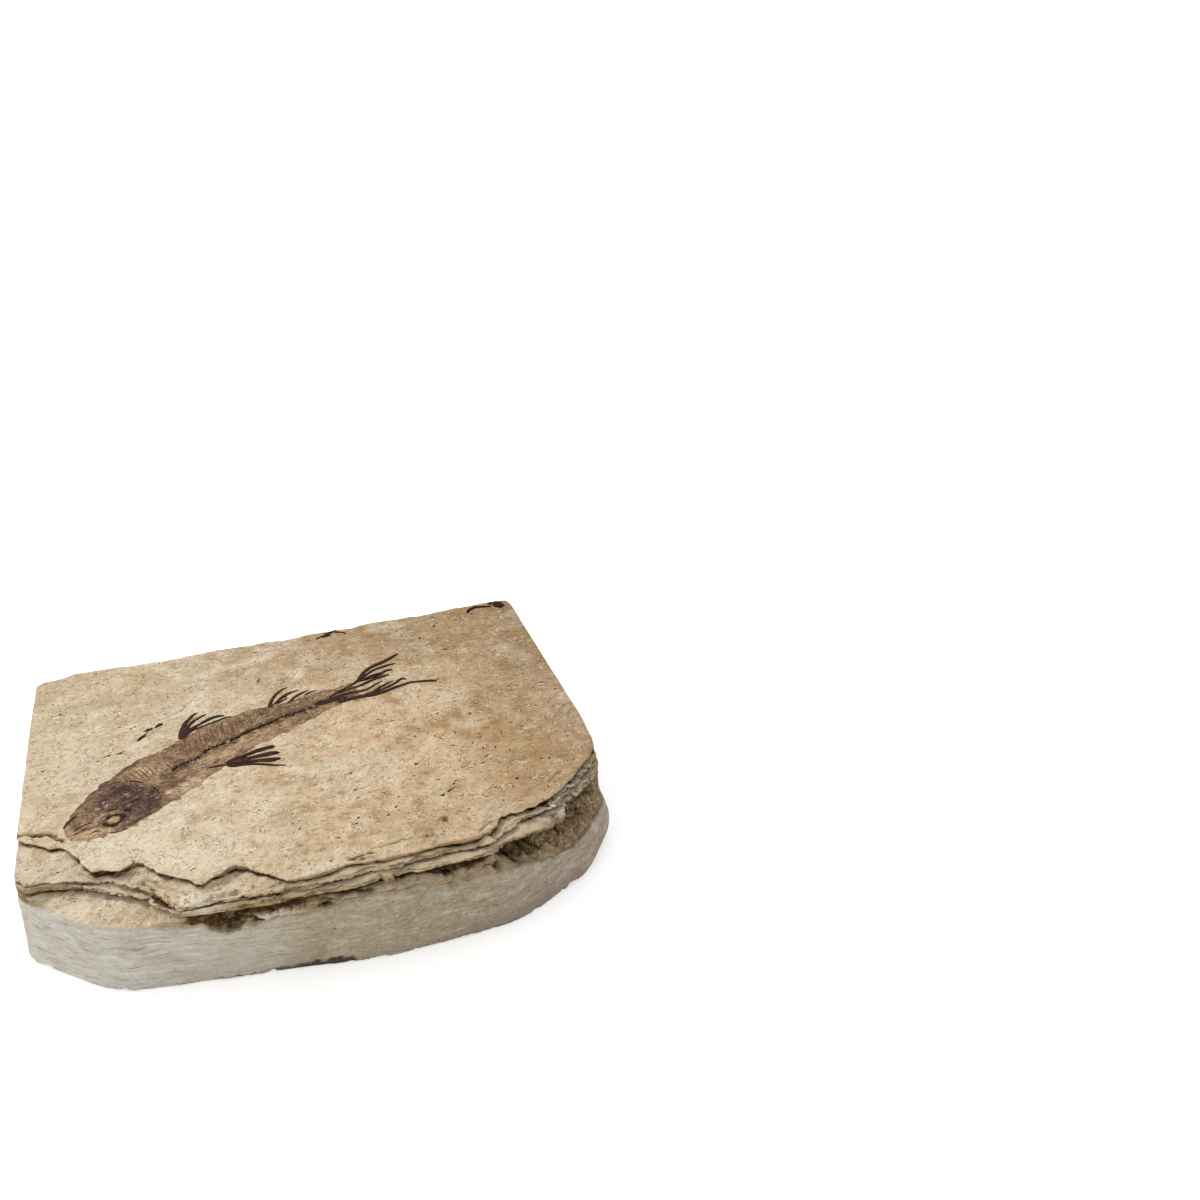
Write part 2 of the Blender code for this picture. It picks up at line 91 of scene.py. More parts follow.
SECOND_SHEET = [
    (-58, -21, 17.9, 0, 0.3), (-53.7, -23.3, 17.8, 0.2, 0.35), (-53, -24, 17.8, 0.3, 0.35),
    (-52.2, -24.8, 17.8, 0.25, 0.35), (-51.2, -25.2, 17.85, 0.15, 0.35), (-49.1, -25.1, 17.9, 0.1, 0.3),
    (-47.7, -26, 17.8, 0.12, 0.3), (-46.1, -26.3, 17.8, 0.15, 0.3), (-44.6, -26.6, 17.8, 0.2, 0.3),
    (-43.4, -27.3, 17.75, 0.35, 0.4), (-41.6, -27.9, 17.7, 0.3, 0.4), (-40.1, -28.5, 17.6, 0.25, 0.4),
    (-38.6, -28.8, 17.6, 0.15, 0.5), (-36.5, -29.9, 17.5, 0.05, 0.6), (-34.5, -31, 17.4, 0, 0.7),
    (-32.5, -32.2, 17.3, 0.05, 0.8), (-30.6, -34, 17.2, 0.3, 0.9), (-29.3, -36, 17, 0.6, 0.9),
    (-28, -37.7, 16.9, 0.5, 0.9), (-26.8, -39.3, 16.8, 0.15, 0.9), (-25, -40.6, 16.9, 0.15, 1),
    (-23.4, -40.9, 17, 0.15, 1), (-22, -40.9, 17.4, 0.2, 0.9), (-20, -41, 17.8, 0.2, 0.7),
    (-18.2, -41.3, 17.7, 0.2, 0.7), (-16.2, -41.4, 17.8, 0.12, 0.7), (-15, -41.7, 17.7, 0.4, 0.7),
    (-13, -41.8, 17.8, 0.4, 0.6), (-12.3, -42, 17.8, 0.12, 0.6), (-11.4, -41.7, 17.9, 0.5, 0.6),
    (-10.4, -42.3, 17.9, 0.6, 0.6), (-9.4, -42.2, 18, 0.5, 0.6), (-8.5, -42, 18.2, 0.35, 0.7),
    (-7.4, -42.4, 18, 0.1, 0.8), (-6.2, -42.9, 17.7, 0.02, 1), (-5, -43.1, 17.6, 0.12, 1.1),
    (-3, -43.2, 17.7, 0.13, 1.1), (0, -43.1, 17.9, 0.15, 1), (2, -43.2, 17.9, 0.12, 1),
    (4.6, -43.1, 18, 0.15, 0.9), (6.2, -42.9, 18.2, 0.2, 0.8), (6.7, -43.1, 18.1, 0.05, 0.8),
    (8.2, -43.2, 18, 0.06, 0.9), (11.3, -43.2, 18, 0.06, 0.9), (11.8, -43, 18, 0.2, 0.9),
    (14.3, -42.9, 18, 0.14, 0.9), (15.8, -43.1, 18, 0.08, 0.9), (18.3, -43, 18.1, 0.15, 0.9),
    (21, -43.1, 18.1, 0.18, 0.9), (22.6, -43.2, 18.1, 0.05, 0.9), (24.6, -43.3, 18, 0.25, 0.9),
    (26.9, -43.2, 18.1, 0.2, 0.9), (28.4, -42.9, 18.2, 0.2, 0.6), (29.4, -42.2, 18.3, 0.25, 0.5),
    (30.4, -41.8, 18.4, 0.3, 0.6), (31, -41, 18.4, 0.25, 0.6), (31.9, -40.5, 18.4, 0.2, 0.7),
    (33.4, -39.4, 18.4, 0.2, 0.9), (34, -39, 18.5, 0.25, 0.9), (35.5, -39, 18.4, 0.3, 0.9),
    (37, -38.8, 18.4, 0.35, 0.9), (38.7, -38.5, 18.4, 0.2, 0.8), (39.5, -38.1, 18.4, 0.2, 0.7),
    (40.5, -37.3, 18.4, 0.25, 0.7), (41.4, -36.8, 18.4, 0.08, 0.6), (42.5, -36, 18.5, 0.04, 0.6),
    (44.5, -34.6, 18.5, 0.1, 0.6), (46.6, -33, 18.5, 0.05, 0.6), (48.6, -31.2, 18.5, 0.1, 0.6),
    (50.6, -29.4, 18.6, 0.12, 0.6), (51.4, -28.7, 18.6, 0.25, 0.5), (52.5, -27.2, 18.7, 0.2, 0.5),
    (53.7, -25.6, 18.9, 0.3, 0.4), (54.4, -24.6, 19, 0.15, 0.3), (55.6, -21.8, 18.9, 0, 0.3),
    (58, -17.5, 18.8, 0, 0.3),
]
BASE_SHEET = [
    (-58, -24.4, 16.8, 0, 1), (-53.6, -25.2, 16.7, 0.05, 1), (-52.8, -25.4, 16.6, 0.2, 1),
    (-51.6, -25.7, 16.6, 0.35, 1.1), (-49.6, -25.6, 16.6, 0.5, 1.1), (-48.2, -25.8, 16.6, 0.4, 1.1),
    (-47, -26.4, 16.6, 0.45, 1.1), (-45.4, -26.9, 16.6, 0.4, 1.1), (-43.9, -27.5, 16.6, 0.35, 1),
    (-41.9, -28.3, 16.6, 0.35, 1), (-40.8, -28.8, 16.6, 0.35, 0.9), (-39.3, -29.8, 16.5, 0.4, 0.7),
    (-37.8, -30.6, 16.5, 0.4, 0.6), (-35.7, -31.7, 16.5, 0.4, 0.6), (-34.2, -32.5, 16.4, 0.45, 0.6),
    (-32.7, -33.6, 16.4, 0.5, 0.6), (-31.5, -34.9, 16.3, 0.5, 0.6), (-30.3, -36.4, 16.2, 0.4, 0.6),
    (-28.6, -37.9, 16, 0.35, 0.7), (-27.6, -38.9, 15.9, 0.35, 0.8), (-26.6, -39.9, 15.6, 0.4, 1),
    (-25.5, -40.7, 15.5, 0.4, 1.2), (-23.3, -41.1, 15.5, 0.45, 1.4), (-21.3, -41.4, 15.6, 0.5, 1.6),
    (-19.8, -41.5, 15.6, 0.5, 1.8), (-18, -41.7, 15.6, 0.55, 1.8), (-15.2, -42, 15.75, 0.6, 1.8),
    (-13.2, -42.3, 15.65, 0.6, 1.8), (-11.7, -42.7, 15.7, 0.6, 1.8), (-10.6, -42.8, 15.9, 0.75, 1.7),
    (-8.6, -43, 16, 0.8, 1.7), (-6.6, -43.2, 16.1, 0.7, 1.4), (-5.2, -43.5, 16.2, 0.35, 1.2),
    (-4, -43.7, 16.4, 0.3, 1), (-1.9, -44, 16.6, 0.35, 0.9), (1.2, -44.5, 16.6, 0.6, 0.8),
    (3.2, -44.5, 16.6, 0.6, 0.8), (5.3, -44.3, 16.7, 0.55, 0.8), (7.3, -44.1, 16.8, 0.45, 0.8),
    (7.9, -44.2, 16.75, 0.5, 0.8), (8.1, -44.5, 16.3, 0.1, 1.2), (9.6, -44.5, 16.3, 0.12, 1.2),
    (9.8, -44.2, 16.8, 0.6, 0.8), (10.9, -44.2, 16.8, 0.6, 0.8), (12.4, -43.9, 16.9, 0.75, 0.8),
    (13.4, -44.2, 16.9, 0.6, 0.8), (15.5, -44.5, 16.9, 0.55, 0.8), (17.5, -44.6, 16.9, 0.9, 0.8),
    (19.6, -44.6, 16.9, 1, 0.8), (23.6, -44.7, 16.9, 1, 0.8), (25.7, -44.6, 16.8, 0.7, 0.8),
    (27.5, -44.5, 16.7, 0.35, 0.9), (28.3, -44, 16.8, 0.4, 0.9), (29, -43.6, 16.9, 0.7, 0.9),
    (30.1, -43.2, 17, 1.6, 0.8), (31.3, -42.7, 17, 2.2, 0.8), (32.8, -42.4, 17, 2.6, 0.8),
    (34.4, -42.1, 17, 2.8, 0.8), (35.4, -41.8, 17, 2.8, 0.8), (36.7, -41.6, 17, 2.7, 0.8),
    (37.4, -41.5, 16.9, 2.5, 0.9), (39.6, -41, 16.6, 1.9, 1.1), (40.6, -40.6, 16.5, 1.4, 1.2),
    (41.5, -40.1, 16.4, 0.9, 1.2), (42.3, -39.6, 16.2, 0.5, 1.4), (43, -38.9, 16.3, 0.4, 1.4),
    (43.4, -37.6, 16.8, 1.2, 1), (44, -36.6, 17.3, 1.8, 0.8), (45.2, -35.8, 17.2, 1.8, 0.8),
    (46.5, -34.5, 17.3, 1.6, 0.8), (47, -34, 17.4, 1.2, 0.8), (49, -32.4, 17.3, 0.6, 0.8),
    (50.6, -31.2, 17.2, 0.45, 0.8), (51.6, -30.2, 17.2, 0.5, 0.8), (52.7, -28.8, 17.2, 0.4, 0.8),
    (54, -27, 17.2, 0.2, 0.8), (55.4, -24.6, 17.2, 0.05, 0.8), (58, -20, 17.2, 0, 0.8),
]

# How the front changes along its length, as (place, value): place runs as X along the front, and on
# round the corners as the distance along the side from the corner
CORNER_LEFT_Y = -24.0
CORNER_RIGHT_Y = -27.0
SAWN_TOP = [          # height where the sawn face ends, low where the stone is broken away
    (-90, 16.2), (-62, 15.6), (-57.5, 13.9), (-52, 14.1), (-46, 14.4), (-40, 14.7), (-33, 13.9),
    (-27, 13.2), (-24.5, 12.9), (-23.4, 12.8), (-22.3, 11.8), (-21, 11.2), (-19.5, 10.7), (-18, 11.1),
    (-16.6, 12), (-15, 11.7), (-13, 12), (-11, 12.8), (-6, 12.9), (-3.5, 12.7), (-1.5, 13.4), (1, 14.4),
    (5, 15), (9, 14.8), (13, 14.2), (17, 14.1), (19, 13.6), (20, 12.7), (21, 13.8), (23, 12.9),
    (26, 13.4), (29, 13), (31, 12.8), (34, 12.3), (36, 11.6), (38, 10.6), (41, 9.8), (45, 9.3),
    (47.5, 9.6), (50.5, 9.6), (53, 9), (56, 9), (60, 10.5), (66, 14), (74, 16.2), (90, 16.2),
]
SAWN_LEAN = [(-90, 0), (40, 0), (47, 0.3), (53, 1), (58, 1.2), (64, 0.4), (72, 0), (90, 0)]
SAWN_SWELL = [(-90, 0), (44, 0), (50, 0.6), (56, 1), (62, 0.8), (74, 0), (90, 0)]
UNDERCUT = [(-90, 0.3), (-60, 0.5), (-50, 0.4), (-30, 0), (36, 0), (44, 0.5), (54, 0.7), (70, 0), (90, 0)]
BROKEN_IN = [         # how deep the broken strip above the sawn face is hollowed
    (-90, 0), (-25, 0), (-23, 0.8), (-21, 1.9), (-18.5, 1.9), (-17, 0.3), (-15, -0.1), (-9, 0), (-5, 0.3),
    (0, 0), (10, 0), (20, 0.1), (27, 0.2), (30, 0.8), (36, 0.6), (42, 0.3), (46, 0.5), (50, 0.5),
    (58, 0.3), (66, 0), (90, 0),
]
BROKEN_BROWN = [      # how brown that strip is
    (-90, 0), (-24, 0), (-22.5, 0.65), (-18, 0.65), (-16.8, 0), (-8, 0), (-5, 0.25), (14, 0.15),
    (24, 0.2), (29, 0.35), (38, 0.5), (42, 0.8), (52, 0.9), (58, 0.6), (64, 0), (90, 0),
]
RAGGED = [            # how uneven the lips of the sheets are
    (-90, 0.5), (-50, 0.7), (-40, 1), (-8, 1), (-3, 0.4), (26, 0.4), (30, 1), (44, 0.9), (58, 0.6),
    (90, 0.3),
]
CRAGGY = [            # how steep and stepped the ledges of the sheets are, by X
    (-90, 0.2), (-44, 0.25), (-36, 0.8), (-30, 1.2), (-9, 1.2), (-4, 0.3), (26, 0.25), (32, 0.7), (42, 1),
    (90, 0.8),
]
HOLES = [             # deep holes in the broken strip: place, height, half width, half height
    (-22.6, 13.4, 0.7, 0.5), (-21.8, 12.6, 0.6, 0.35), (-19.2, 12.2, 1, 0.3), (-20.9, 14.4, 1.2, 0.35),
    (-18, 13.4, 0.8, 0.3), (-2.6, 13.7, 1.3, 0.4), (4.6, 15.4, 1.4, 0.2), (-14.2, 12.5, 0.8, 0.25),
    (20.2, 14.6, 0.8, 0.4), (29.2, 14, 0.7, 0.9), (33.6, 12.9, 0.4, 0.8), (38.6, 13.4, 0.4, 0.7),
    (43.2, 14, 0.35, 1.6), (46.4, 14.8, 0.5, 0.9), (49.5, 13.6, 0.5, 0.5), (51.8, 15.2, 0.5, 0.5),
]
CHIPS = [             # flakes gone from the sawn face: place, height, half width, half height, depth
    (-22.3, 13.1, 0.7, 0.6, 0.9), (-19.4, 11.5, 1.5, 0.35, 0.6), (-15.5, 11.8, 1.4, 0.45, 0.5),
    (-2.8, 12.7, 0.9, 0.25, 0.5), (3, 14.2, 2.6, 0.5, 0.4), (13.6, 14, 2.2, 0.9, 0.45),
    (20.2, 12.9, 0.9, 0.8, 0.8), (23.6, 12.6, 0.9, 0.5, 0.5), (30, 11.8, 0.6, 0.9, 0.35),
    (34.6, 11.9, 0.5, 0.8, 0.5), (-9, 0.9, 6.5, 1.3, 0.6), (-1.5, 1.4, 2, 1.2, 0.5),
    (12, 0.3, 7, 0.7, 0.35), (30, 0.3, 6, 0.6, 0.35), (47, 3, 0.8, 0.4, 0.3), (37, 5.4, 0.3, 0.25, 0.3),
    (33, 7, 0.4, 0.2, 0.3), (-38, 8.6, 0.4, 0.25, 0.25),
]

# Thin cracks and flake edges in the top face: half width, depth, drop of its right-hand side, points
TOP_CRACKS = [
    (0.28, 0.45, 0.25, [(-55, -11.3), (-52.6, -12.1), (-51.2, -12.9), (-50.3, -13.3), (-49.3, -13.2),
                        (-48.4, -13.9), (-47.4, -15.1), (-46.3, -16), (-45.7, -17.2)]),
    (0.2, 0.3, 0.12, [(0.7, -41.3), (1.4, -40.9), (2.6, -40.6), (4.2, -40.1), (6.2, -39.8),
                      (7.3, -40.1)]),
    (0.16, 0.22, 0.1, [(3.6, -41.9), (4, -41.3), (4.9, -40.9), (6.1, -40.8), (7.2, -41.2), (8.8, -41.9)]),
    (0.14, 0.2, 0.05, [(8, -39.1), (9.6, -38.9), (11.4, -38.7), (13, -38.4), (14.8, -38.6)]),
    (0.14, 0.16, 0.06, [(15.2, -39), (16.4, -39), (18, -39.3), (20.5, -39.5)]),
    (0.14, 0.2, 0.1, [(26, -41.5), (27.4, -40.3), (28.4, -39.4), (29.2, -38.9), (29.9, -39.1)]),
    (0.16, 0.2, 0.1, [(42.9, -31.4), (43.4, -30.4), (44.4, -29.4), (45.8, -28.7)]),
    (0.2, 0.2, 0.15, [(-33, 13.2), (-32.2, 14), (-31.3, 15.2)]),
    (0.2, 0.2, 0.15, [(-31.5, 16), (-30.8, 16.3), (-30, 16.8)]),
    (0.24, 0.2, 0.15, [(-29.5, 16.8), (-28.8, 17.6), (-28.2, 18)]),
    (0.18, 0.25, 0, [(-39.6, 8.9), (-38.8, 9.1), (-38.2, 9.6)]),
    (0.22, 0.3, 0, [(-37.2, 9.3), (-36.4, 9.4), (-35.6, 9.9)]),
    (0.16, 0.08, 0.14, [(-27.5, 20), (-25.2, 21.2), (-23.6, 22.8), (-22.2, 24.6), (-20.6, 27.2)]),
    (0.14, 0.05, 0.12, [(-35.6, 12.2), (-31, 14.2), (-27.4, 17.6), (-24.4, 20.2)]),
    (0.12, 0.05, 0.1, [(-31.4, -5.6), (-28.2, -8.8), (-25, -10.9), (-21.5, -9.4)]),
    (0.12, 0.16, 0, [(50.9, -9), (52.4, -7.4), (54, -6)]), (0.12, 0.16, 0, [(53, -10.5), (54.5, -8.2)]),
    (0.12, 0.16, 0, [(23.4, -27.6), (24.2, -27), (25, -26.4)]),
    (0.14, 0.2, 0, [(-7.6, 27.3), (-7, 29.6)]),
    (0.18, 0.25, 0, [(20.2, -34.9), (20.9, -34.5), (21.8, -34.7)]),
    (0.18, 0.25, 0, [(20.4, -35.8), (21.1, -35.4), (21.6, -36.2)]),
    (0.15, 0.2, 0, [(-7.6, -39.2), (-7, -38.7)]),
    (0.13, 0.15, 0, [(-18.2, 43.3), (-16.8, 43.6), (-15.2, 43.5)]),
    (0.13, 0.15, 0, [(-18, 41.8), (-16.9, 42.1), (-15.5, 42)]),
    (0.12, 0.16, 0, [(36.6, -23.9), (36.2, -22.8)]),
    (0.12, 0.15, 0, [(50.2, -22.8), (50.4, -23.4), (51, -23.6)]),
]

LEDGE_STEPS = [
    (0.2, 0, 0.5, [(-22.4, -41.6), (-22, -39.9), (-21, -39.4), (-19.8, -39.7), (-17.9, -39.6),
                   (-17, -39.4), (-16.7, -40.2), (-15.3, -40.9)]),
    (0.2, 0.15, 0.3, [(-15.3, -41), (-14.8, -40.4), (-14, -39.9), (-13.4, -40.8), (-12.9, -41.7)]),
    (0.2, 0.1, 0.25, [(-12.1, -42.3), (-11.8, -41.6), (-11.1, -41), (-9.4, -40.8), (-7.5, -41.4)]),
    (0.25, 0.1, 0.3, [(-34.5, -30.2), (-32, -31.6), (-30.2, -33.9), (-28.6, -36), (-27.6, -37.6)]),
    (0.2, 0.1, 0.25, [(-33, -29.5), (-30.5, -32.2), (-28.4, -34.4), (-26, -36.6), (-24.4, -38.2)]),
    (0.25, 0.1, 0.2, [(-44, -24), (-41.5, -26.6), (-39, -28.3)]),
]


def at(table, places):
    """Values of a (place, value) table, eased between its entries."""
    known, values = np.array(table, float).T
    places = np.clip(places, known[0], known[-1])
    i = np.clip(np.searchsorted(known, places, side="right") - 1, 0, len(known) - 2)
    t = (places - known[i]) / (known[i + 1] - known[i])
    t = t * t * (3 - 2 * t)
    return values[i] * (1 - t) + values[i + 1] * t


def between(values, start, end):
    """How far values have come from start to end, from 0 to 1."""
    return np.clip((values - start) / (end - start), 0, 1)


def grain(points, size, octaves=3, seed=0.0):
    """Fractal noise about -1 to 1 at each point, with features of the given size or sizes."""
    sizes = np.broadcast_to(np.array(size, float), (3,))
    scaled = np.asarray(points, float) / sizes + (seed * 17.3, seed * 5.1, seed * 9.7)
    values = [noise.fractal(p, 1.0, 2.0, octaves, noise_basis="PERLIN_ORIGINAL") for p in scaled.tolist()]
    return np.array(values)


def facets(points, sizes, seed=0.0):
    """Flat-sided lumps about -1 to 1 at each point: every lump has a height and a tilt of its own."""
    scaled = np.asarray(points, float) / np.array(sizes) + (seed * 7.9, seed * 3.3, seed * 5.7)
    values = []
    for p in scaled.tolist():
        middle = noise.voronoi(p)[1][0]
        lot = middle * 37.7
        tilt = noise.cell_vector(lot) - Vector((0.5, 0.5, 0.5))
        values.append(noise.cell(lot.yzx) * 2 - 1 + tilt.dot(Vector(p) - middle) * 2.2)
    return np.clip(np.array(values), -1.5, 1.5)


def stacked(x, y, z):
    """Points from their three coordinates, each a number or an array."""
    return np.stack(np.broadcast_arrays(x, y, z), -1).astype(float)


def terraced(values, step, crispness):
    """Values drawn to level steps with sloping risers."""
    level = np.floor(values / step)
    return (level + np.clip((values / step - level) * crispness, 0, 1)) * step


def line_offsets(x, y, points):
    """Distance of each place to a line of points, and which side of it the place lies on."""
    nearest = np.full(np.shape(x), 1e9)
    side = np.zeros(np.shape(x))
    for (ax, ay), (bx, by) in zip(points, points[1:]):
        run_x, run_y = bx - ax, by - ay
        t = np.clip(((x - ax) * run_x + (y - ay) * run_y) / (run_x ** 2 + run_y ** 2), 0, 1)
        far = np.hypot(x - ax - t * run_x, y - ay - t * run_y)
        turn = np.sign((y - ay) * run_x - (x - ax) * run_y)
        side = np.where(far < nearest, turn, side)
        nearest = np.minimum(nearest, far)
    return nearest, side


# The stone: one closed skin, row upon row round the outline, then a filled top and underside

FRONT_STEP = 0.4      # how close the columns stand along the front, and along the sides and back
SIDE_STEP = 1.1
TOP_STEP = 0.62       # the grid of the top face
WALL_ROWS = 26
SHELF_ROWS = 18
EDGE_PARTS = (0.08, 0.25, 0.42, 0.6, 0.78, 0.95)    # rows up the broken edge of a sheet
ROUND_CORNER = 56.5   # place from which the sides are sawn, where only their cracks run on
NO_LIP = 999          # reach of a lip where its sheet isn't broken back


def sawn_outline(node):
    """Corners of the underside of the stone's solid, in order."""
    bm = bmesh.new()
    bm.from_mesh(node.data)
    bmesh.ops.remove_doubles(bm, verts=bm.verts, dist=1e-6)
    under = {f for f in bm.faces if f.normal.z < -0.99 and f.calc_center_median().z < 1e-5}
    rim = [e for e in bm.edges if sum(f in under for f in e.link_faces) == 1]
    following = {}
    for e in rim:
        for v in e.verts:
            following.setdefault(v, []).append(e.other_vert(v))
    start = min(following, key=lambda v: v.co.y)
    loop = [start, following[start][0]]
    while True:
        onward = [v for v in following[loop[-1]] if v is not loop[-2]][0]
        if onward is start:
            break
        loop.append(onward)
    points = np.array([v.co[:2] for v in loop]) / MM
    bm.free()
    return points


def columns_round(outline):
    """Points along the sawn outline, close together at the front and further apart round the back."""
    points = []
    for a, b in zip(outline, np.roll(outline, -1, axis=0)):
        long_side = abs(b[1] - a[1]) > 40
        front = max(a[1], b[1]) < -15
        step = FRONT_STEP if front else SIDE_STEP
        count = max(1, round(float(np.linalg.norm(b - a)) / step))
        parts = np.arange(count) / count
        if long_side:                       # closer together towards the front
            parts = parts ** 1.5 if a[1] < b[1] else 1 - (1 - parts) ** 1.5
        points.extend(a + (b - a) * t for t in parts)
    return np.array(points)


class Outline:
    """The sawn outline as columns: their points, directions from the middle and places along the front."""

    def __init__(self, node):
        points = columns_round(sawn_outline(node))
        self.points = points
        self.reach = np.linalg.norm(points, axis=1)
        self.ray = points / self.reach[:, None]
        self.angle = np.arctan2(points[:, 0], -points[:, 1])
        x, y = points.T
        place = x.copy()
        left = (x < 0) & (y > CORNER_LEFT_Y)
        right = (x > 0) & (y > CORNER_RIGHT_Y)
        place[left] = -SIDE - (y[left] - CORNER_LEFT_Y)
        place[right] = SIDE + (y[right] - CORNER_RIGHT_Y)
        self.place = place
        self.count = len(points)
        forward = np.clip((BACK - y) / (BACK - CORNER_LEFT_Y), 0, 1)
        leftward = np.abs(x / SIDE) ** 4 / np.maximum(np.abs(x), 1)
        self.lean = np.where(x < 0, (0.3 + 1.3 * forward) * leftward, 0)

    def spots(self, reach, z):
        """Points on the columns at a reach and a height."""
        return stacked(*(self.ray * reach[:, None]).T, z)

    def skin(self, z):
        """Reach of the sawn sides at a height, with their lean and relief."""
        reach = self.reach * (1 - self.lean * z / TOP)
        reach = reach - at(SAWN_LEAN, self.place) * np.clip(z / 12, 0, 1) ** 2
        reach = reach + at(SAWN_SWELL, self.place) * np.sin(math.pi * np.clip(z / 10, 0, 1))
        reach = reach - at(UNDERCUT, self.place) * np.clip(1 - z / 2.2, 0, 1) ** 2
        return reach - wall_relief(self.place, np.broadcast_to(z, reach.shape), self.points)

    def sheet(self, table, seed, jag):
        """A sheet's lip, underside, opening and any edge height at each column, with a ragged lip."""
        x, y, under, gap, *edges = np.array(table).T
        angles = np.arctan2(x, -y)
        lip = np.interp(self.angle, angles, np.hypot(x, y), left=NO_LIP, right=NO_LIP)
        spots = self.spots(np.minimum(lip, 80), 0)
        ragged = grain(spots, 2.4, 3, seed) * 0.9 + np.abs(grain(spots, 0.9, 3, seed + 3)) * 1.0 - 0.25
        lip = lip - ragged * jag * at(RAGGED, self.place)
        under = np.interp(self.angle, angles, under) + grain(spots, 4.0, 3, seed + 7) * jag * 0.3
        gap = np.interp(self.angle, angles, gap)
        gap = np.minimum(gap * 1.4, gap + 0.3) * (1 + grain(spots, 1.5, 2, seed + 5) * 0.45)
        return lip, under, np.maximum(gap, 0), *(np.interp(self.angle, angles, edge) for edge in edges)


def wall_relief(place, z, points):
    """How far the sawn face lies inside its outline: saw marks, soft layers and flaked chips."""
    spots = stacked(points[:, 0], points[:, 1], z)
    relief = grain(spots, (26, 26, 0.9), 3, 1) * 0.06 + grain(spots, (9, 9, 3), 3, 2) * 0.12
    relief += np.clip(grain(spots, (14, 14, 0.45), 2, 4) - 0.25, 0, 1) * 0.16
    foot = np.clip(grain(spots, (1.5, 1.5, 1.0), 4, 8) + grain(spots, 8, 2, 9) * 1.2 - 0.1, 0, 1)
    relief += foot * np.clip(1 - z / 1.2, 0, 1) * 1.1
    edge = grain(spots, 1.4, 3, 5)
    for middle, height, half_width, half_height, depth in CHIPS:
        far = np.hypot((place - middle) / half_width, (z - height) / half_height)
        relief += np.clip(1.2 - far + edge * 0.4, 0, 1) * depth
    back = np.clip((points[:, 1] - BACK + 3) / 3, 0, 1)
    bulge = at([(-60, 0), (-52, 0.5), (-46, 1.5), (-38, 1.3), (-30, 0.2), (60, 0)], points[:, 0])
    rough = 0.45 + grain(spots, (7, 7, 4), 4, 6) * 0.8 + np.abs(grain(spots, 2.2, 3, 7)) * 0.45
    relief += back * (rough - bulge * np.clip((z - 12) / 8, 0, 1))
    return relief


def holes(place, z):
    """Share of the small deep holes in the broken strip above the sawn face."""
    share = np.zeros(np.shape(place))
    for middle, height, half_width, half_height in HOLES:
        far = np.hypot((place - middle) / half_width, (z - height) / half_height)
        share = np.maximum(share, np.clip((1.3 - far) * 2, 0, 1))
    return share


def top_cracks(x, y, table=TOP_CRACKS):
    """Depth of the cracks in a split face with the drop beside them, and the painted shade in the cracks at
    each place.
    """
    drop = np.zeros(np.shape(x))
    dark = np.zeros(np.shape(x))
    x = x + grain(stacked(x, y, 7), 1.1, 2, 16) * 0.3
    y = y + grain(stacked(x, y, 9), 1.1, 2, 17) * 0.3
    for half_width, depth, step, points in table:
        box = np.array(points)
        near = ((x > box[:, 0].min() - 4) & (x < box[:, 0].max() + 4)
                & (y > box[:, 1].min() - 4) & (y < box[:, 1].max() + 4))
        if not near.any():
            continue
        far, side = line_offsets(x[near], y[near], points)
        ends = np.minimum(np.hypot(x[near] - box[0, 0], y[near] - box[0, 1]),
                          np.hypot(x[near] - box[-1, 0], y[near] - box[-1, 1]))
        groove = np.clip(1.25 - far / (half_width * 1.3), 0, 1) * np.clip(0.45 + ends / 0.8, 0, 1)
        beside = np.where(side < 0, np.clip(1 - far / 3.2, 0, 1) * np.clip(ends / 2.0, 0, 1), 0)
        drop[near] += groove * depth + beside * step
        dark[near] = np.maximum(dark[near], groove * min(1, depth * 3))
    return drop, dark


def top_height(x, y):
    """Height of the split top face: a gentle swell, thin flakes, fine grit and cracks."""
    spots = stacked(x, y, 0.0)
    height = TOP - 0.1 + grain(spots, 30, 2, 11) * 0.1 + grain(spots, (6, 4, 5), 3, 12) * 0.06
    height += grain(spots, (2.0, 2.0, 2), 3, 13) * 0.035
    height += terraced(grain(spots, (7, 4, 5), 4, 14) * 3.2, 1, 5) * 0.045
    edge = np.hypot((x + 24) * 0.8 + (y - 23) * 0.55, ((y - 23) * 0.8 - (x + 24) * 0.55) * 0.4)
    scar = np.clip(1 - edge / 3.5 + grain(spots, 2.5, 3, 15) * 0.25, 0, 1)
    height -= np.minimum(scar * 4, 1) * 0.16
    return height - top_cracks(x, y)[0]


